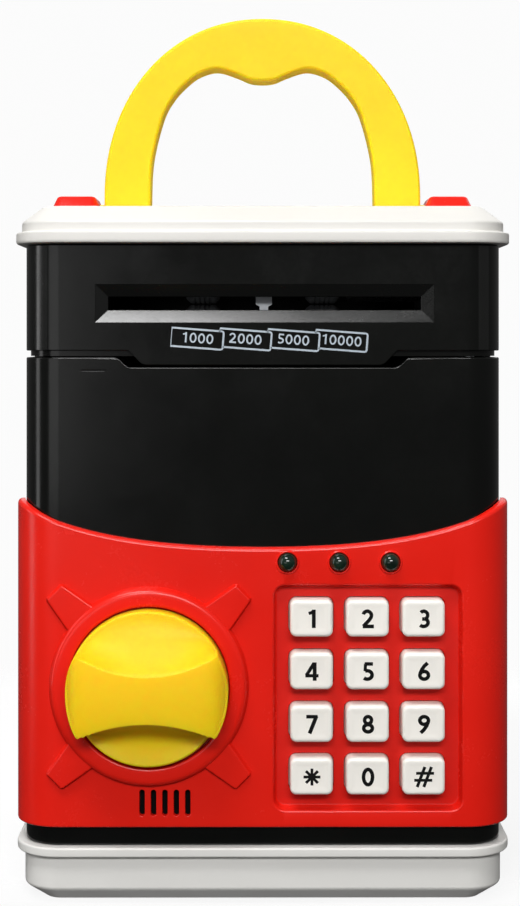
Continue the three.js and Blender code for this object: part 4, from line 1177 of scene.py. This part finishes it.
def build_base():
    low, high = base_lo.z, BASE_TOP
    rim = high - 2.6
    stages = fillet(low, -6.6, low + 0.35, -5.3, low, -5.7, 4)
    stages += fillet(low + 3.7, -0.4, low + 4.9, 0.3, low + 4.2, 0.3, 4)
    stages += fillet(rim - 0.5, 0.3, rim, 0.8, rim, 0.3, 3)
    stages += fillet(rim + 0.02, 1.8, rim + 0.7, 2.4, rim + 0.02, 2.4, 3)
    stages += fillet(high - 0.6, 2.4, high, 1.7, high, 2.4, 4)
    base = new_object("base", trim(stages), base_white_painted_light, 25)
    screws = [middle(f"base_screw_{i}") for i in range(1, 5)]
    pads = [(-46, -42), (46, -42), (-42, 47), (42, 47)]
    cuts = [upright(cover_outline(0.3), low - 1, low + 3)]
    cuts += [upright(circle(3.5, spot.x, spot.y, 40), low - 1, low + 2.3) for spot in screws]
    cuts += [upright(circle(4.8, x, y, 40), low - 1, low + 1.4) for x, y in pads]
    cuts.append(upright(circle(5.6, HINGE.x, HINGE.y, 40), high - 0.3, high + 1))
    combine(base, cuts)
    even_normals(base, 28)
    settle(base, "case", "white_plastic", "base_tray")
    for index, (x, y) in enumerate(pads, 1):
        profile = [(0, 0), (4.5, 0), (4.5, 1.0), (4.2, 1.3), (0, 1.3)]
        pad = new_object(f"foot_pad_{index}", turned(profile, (x, y, low + 0.03), "Z", 40), rubber)
        settle(pad, "case", "rubber")
    for index, spot in enumerate(screws, 1):
        screw(f"case_screw_{index}", (spot.x, spot.y, 2.2), 3, 1.6, (0, 0, -1),
              f"base_screw_{index}")


def build_battery_cover():
    lo, hi = cad("battery_cover")
    cover = new_object("battery_lid", upright(cover_outline(0), lo.z, hi.z, 0.3, 3), base_white_painted_light)
    ribs = [upright(rounded_rectangle(9, 0.5, 0.45, 0, 40 - k * 2.2, 3), lo.z - 1, lo.z + 0.5)
            for k in range(6)]
    arrow = [Vector(p) for p in ((-5, 24), (0, 18), (5, 24))]
    ribs.append(upright(arrow, lo.z - 1, lo.z + 0.4))
    ribs.append(upright(circle(3.1, 20, 3, 40), lo.z - 1, lo.z + 1.3))
    combine(cover, ribs)
    smooth_by_angle(cover.data, 35)
    settle(cover, "case", "white_plastic", "battery_cover")
    screw("battery_lid_screw", (20, 3, lo.z + 1.3), 2.7, 1.2, (0, 0, -1), "battery_screw")


build_cap()
build_base()
build_battery_cover()
for index, (x, z) in enumerate(BACK_SCREWS, 1):
    screw(f"back_screw_{index}", (x, body_hi.y - 1.3, z), 3.1, 1.2, (0, 1, 0))


# ---------- Handle ----------

def handle_outline():
    """A round arch outside. Inside, a smooth line through knots, with two finger humps."""
    foot, leg, bottom = 194.0, HANDLE_HALF - HANDLE_LEG, FOLD_Z - 5
    outer = arch(HANDLE_HALF, handle_hi.z - foot, foot, 32)
    side = [(leg, 192), (32.0, 204.6), (29.1, 216.8), (26.0, 222.9), (21.8, 227.5),
            (17.9, 230.2), (12.9, 231.4), (7.2, 229.7), (3.6, 228.2)]
    knots = [Vector((-x, z)) for x, z in side] + [Vector((0, 227.8))]
    knots += [Vector(spot) for spot in reversed(side)]
    inner = []
    for p0, p1, p2, p3 in zip(knots[:1] + knots, knots, knots[1:], knots[2:] + knots[-1:]):
        for k in range(6):
            t = k / 6
            inner.append(0.5 * (2 * p1 + (p2 - p0) * t + (2 * p0 - 5 * p1 + 4 * p2 - p3) * t ** 2
                                + (3 * p1 - 3 * p2 + p3 - p0) * t ** 3))
    return ([Vector((HANDLE_HALF, bottom))] + outer
            + [Vector((-HANDLE_HALF, bottom)), Vector((-leg, bottom))]
            + inner + [knots[-1], Vector((leg, bottom))])


def build_handle():
    y0, y1 = handle_lo.y, handle_hi.y
    handle = new_object("carry_handle", frontal(handle_outline(), y0, y1, 0.9, 5), yellow, 40)
    kept = linked("kept", block(-60, 60, y0 - 5, y1 + 5, FOLD_Z, 260))
    combine(kept, [axle(-60, 60, 5, 64)], "UNION")
    combine(handle, [kept], "INTERSECT")
    pin = [(0, 0), (1.8, 0), (1.8, 9.9), (1.5, 10.4), (0, 10.4)]
    combine(handle, [
        turned([(r, sign * h) for r, h in pin], (sign * 44, FOLD_Y, FOLD_Z), "X", 32)
        for sign in (-1, 1)
    ], "UNION")
    even_normals(handle, 40)
    settle(handle, "handle", "yellow_plastic", "handle")


def build_hinge_cover(side, sign):
    """A low cap with sloping shoulders over one of the handle's pins."""
    pin_x = sign * 47
    lo, hi = cad(f"hinge_cover_{side}")
    top = hi.z + 0.5
    centre = middle(f"hinge_cover_{side}")
    outline = rounded_rectangle((hi.x - lo.x) / 2 + 0.4, (hi.y - lo.y) / 2, 3, centre.x, centre.y)
    stages = [(lo.z, -0.1), (lo.z + 0.15, 0.0), (lo.z + 1.35, 0.0), (lo.z + 1.7, -0.12),
              (lo.z + 1.95, -0.35), (top - 0.45, -1.5), (top - 0.15, -1.9), (top, -2.5)]
    cover = new_object(f"hinge_cap_{side}", along_z(outline, stages), red, 30)
    combine(cover, [axle(pin_x - 8, pin_x + 8, 2.1)])
    smooth_by_angle(cover.data, 30)
    settle(cover, "case", "red_plastic", f"hinge_cover_{side}")


build_handle()
build_hinge_cover("left", -1)
build_hinge_cover("right", 1)


# ---------- Note feeder and inside of the door ----------

def build_tyre(shaft, side):
    """A rubber tyre with chamfered shoulders and five shallow grooves."""
    node = f"{shaft}_tyre_{side}"
    lo, hi = cad(node)
    r, half = (hi.z - lo.z) / 2, (hi.x - lo.x) / 2
    profile = [(1.8, -half), (r - 1.2, -half), (r - 0.1, -half + 1.1)]
    for x in (-2.6, -1.3, 0, 1.3, 2.6):
        profile += [(r, x - 0.5), (r, x + 0.3), (r - 0.3, x + 0.45), (r - 0.3, x + 0.65)]
    profile = profile[:-2] + [(r - 0.1, half - 1.1), (r - 1.2, half), (1.8, half), (1.8, -half)]
    tyre = new_object(f"tyre_{shaft}_{side}", turned(profile, middle(node), "X", 48),
                      tyre_rubber, 40)
    settle(tyre, f"{shaft}_roller", "rubber", node)


def build_back_cover():
    """The plate inside the door, with a row of cut ribs and six screws."""
    lo, hi = cad("door_back_cover")
    centre = middle("door_back_cover")
    half_x, half_z = (hi.x - lo.x) / 2, (hi.z - lo.z) / 2
    stages = [(lo.y, 0.0), (hi.y - 0.4, 0.0), (hi.y - 0.1, -0.12), (hi.y, -0.4), (hi.y, -3.0),
              (hi.y - 0.35, -3.3), (hi.y - 0.5, -3.8)]
    rings = []
    for y, out in stages:
        ring = rounded_rectangle(half_x + out, half_z + out, 4 + out, centre.x, centre.z, 6)
        rings.append([(p.x, y, p.y) for p in ring])
    plate = new_object("door_inner_plate", skin_rings(rings), dark, 30)
    combine(plate, [
        frontal(rounded_rectangle(20, 0.8, 0.7, centre.x, centre.z + k * 4, 3), hi.y - 1.1, hi.y + 1)
        for k in range(-3, 4)
    ])
    smooth_by_angle(plate.data, 30)
    settle(plate, "door", "dark_plastic", "door_back_cover")
    spots = [(x, z) for z in (lo.z + 7, centre.z, hi.z - 7) for x in (lo.x + 7, hi.x - 7)]
    for index, (x, z) in enumerate(spots, 1):
        screw(f"plate_screw_{index}", (x, hi.y - 0.5, z), 2.6, 1.1, (0, 1, 0), body="door")


for shaft in ("upper", "lower"):
    build_tyre(shaft, "left")
    build_tyre(shaft, "right")
build_back_cover()


# ---------- Materials of the CAD nodes that stay visible ----------

FINISHES = {
    "black_plastic": black, "white_plastic": white, "yellow_plastic": yellow, "red_plastic": red,
    "key_plastic": key_white, "lamp_lens": lens, "steel": steel, "gear_metal": brass,
    "rubber": rubber, "grey_plastic": grey, "dark_plastic": dark, "board": board,
    "gear_plastic": natural, "battery_sleeve": sleeve,
}
for row in frame["record"]["subparts"]:
    node = frame["nodes"][row["node"]]
    node.data.materials.clear()
    node.data.materials.append(FINISHES[row["material_slot"]])
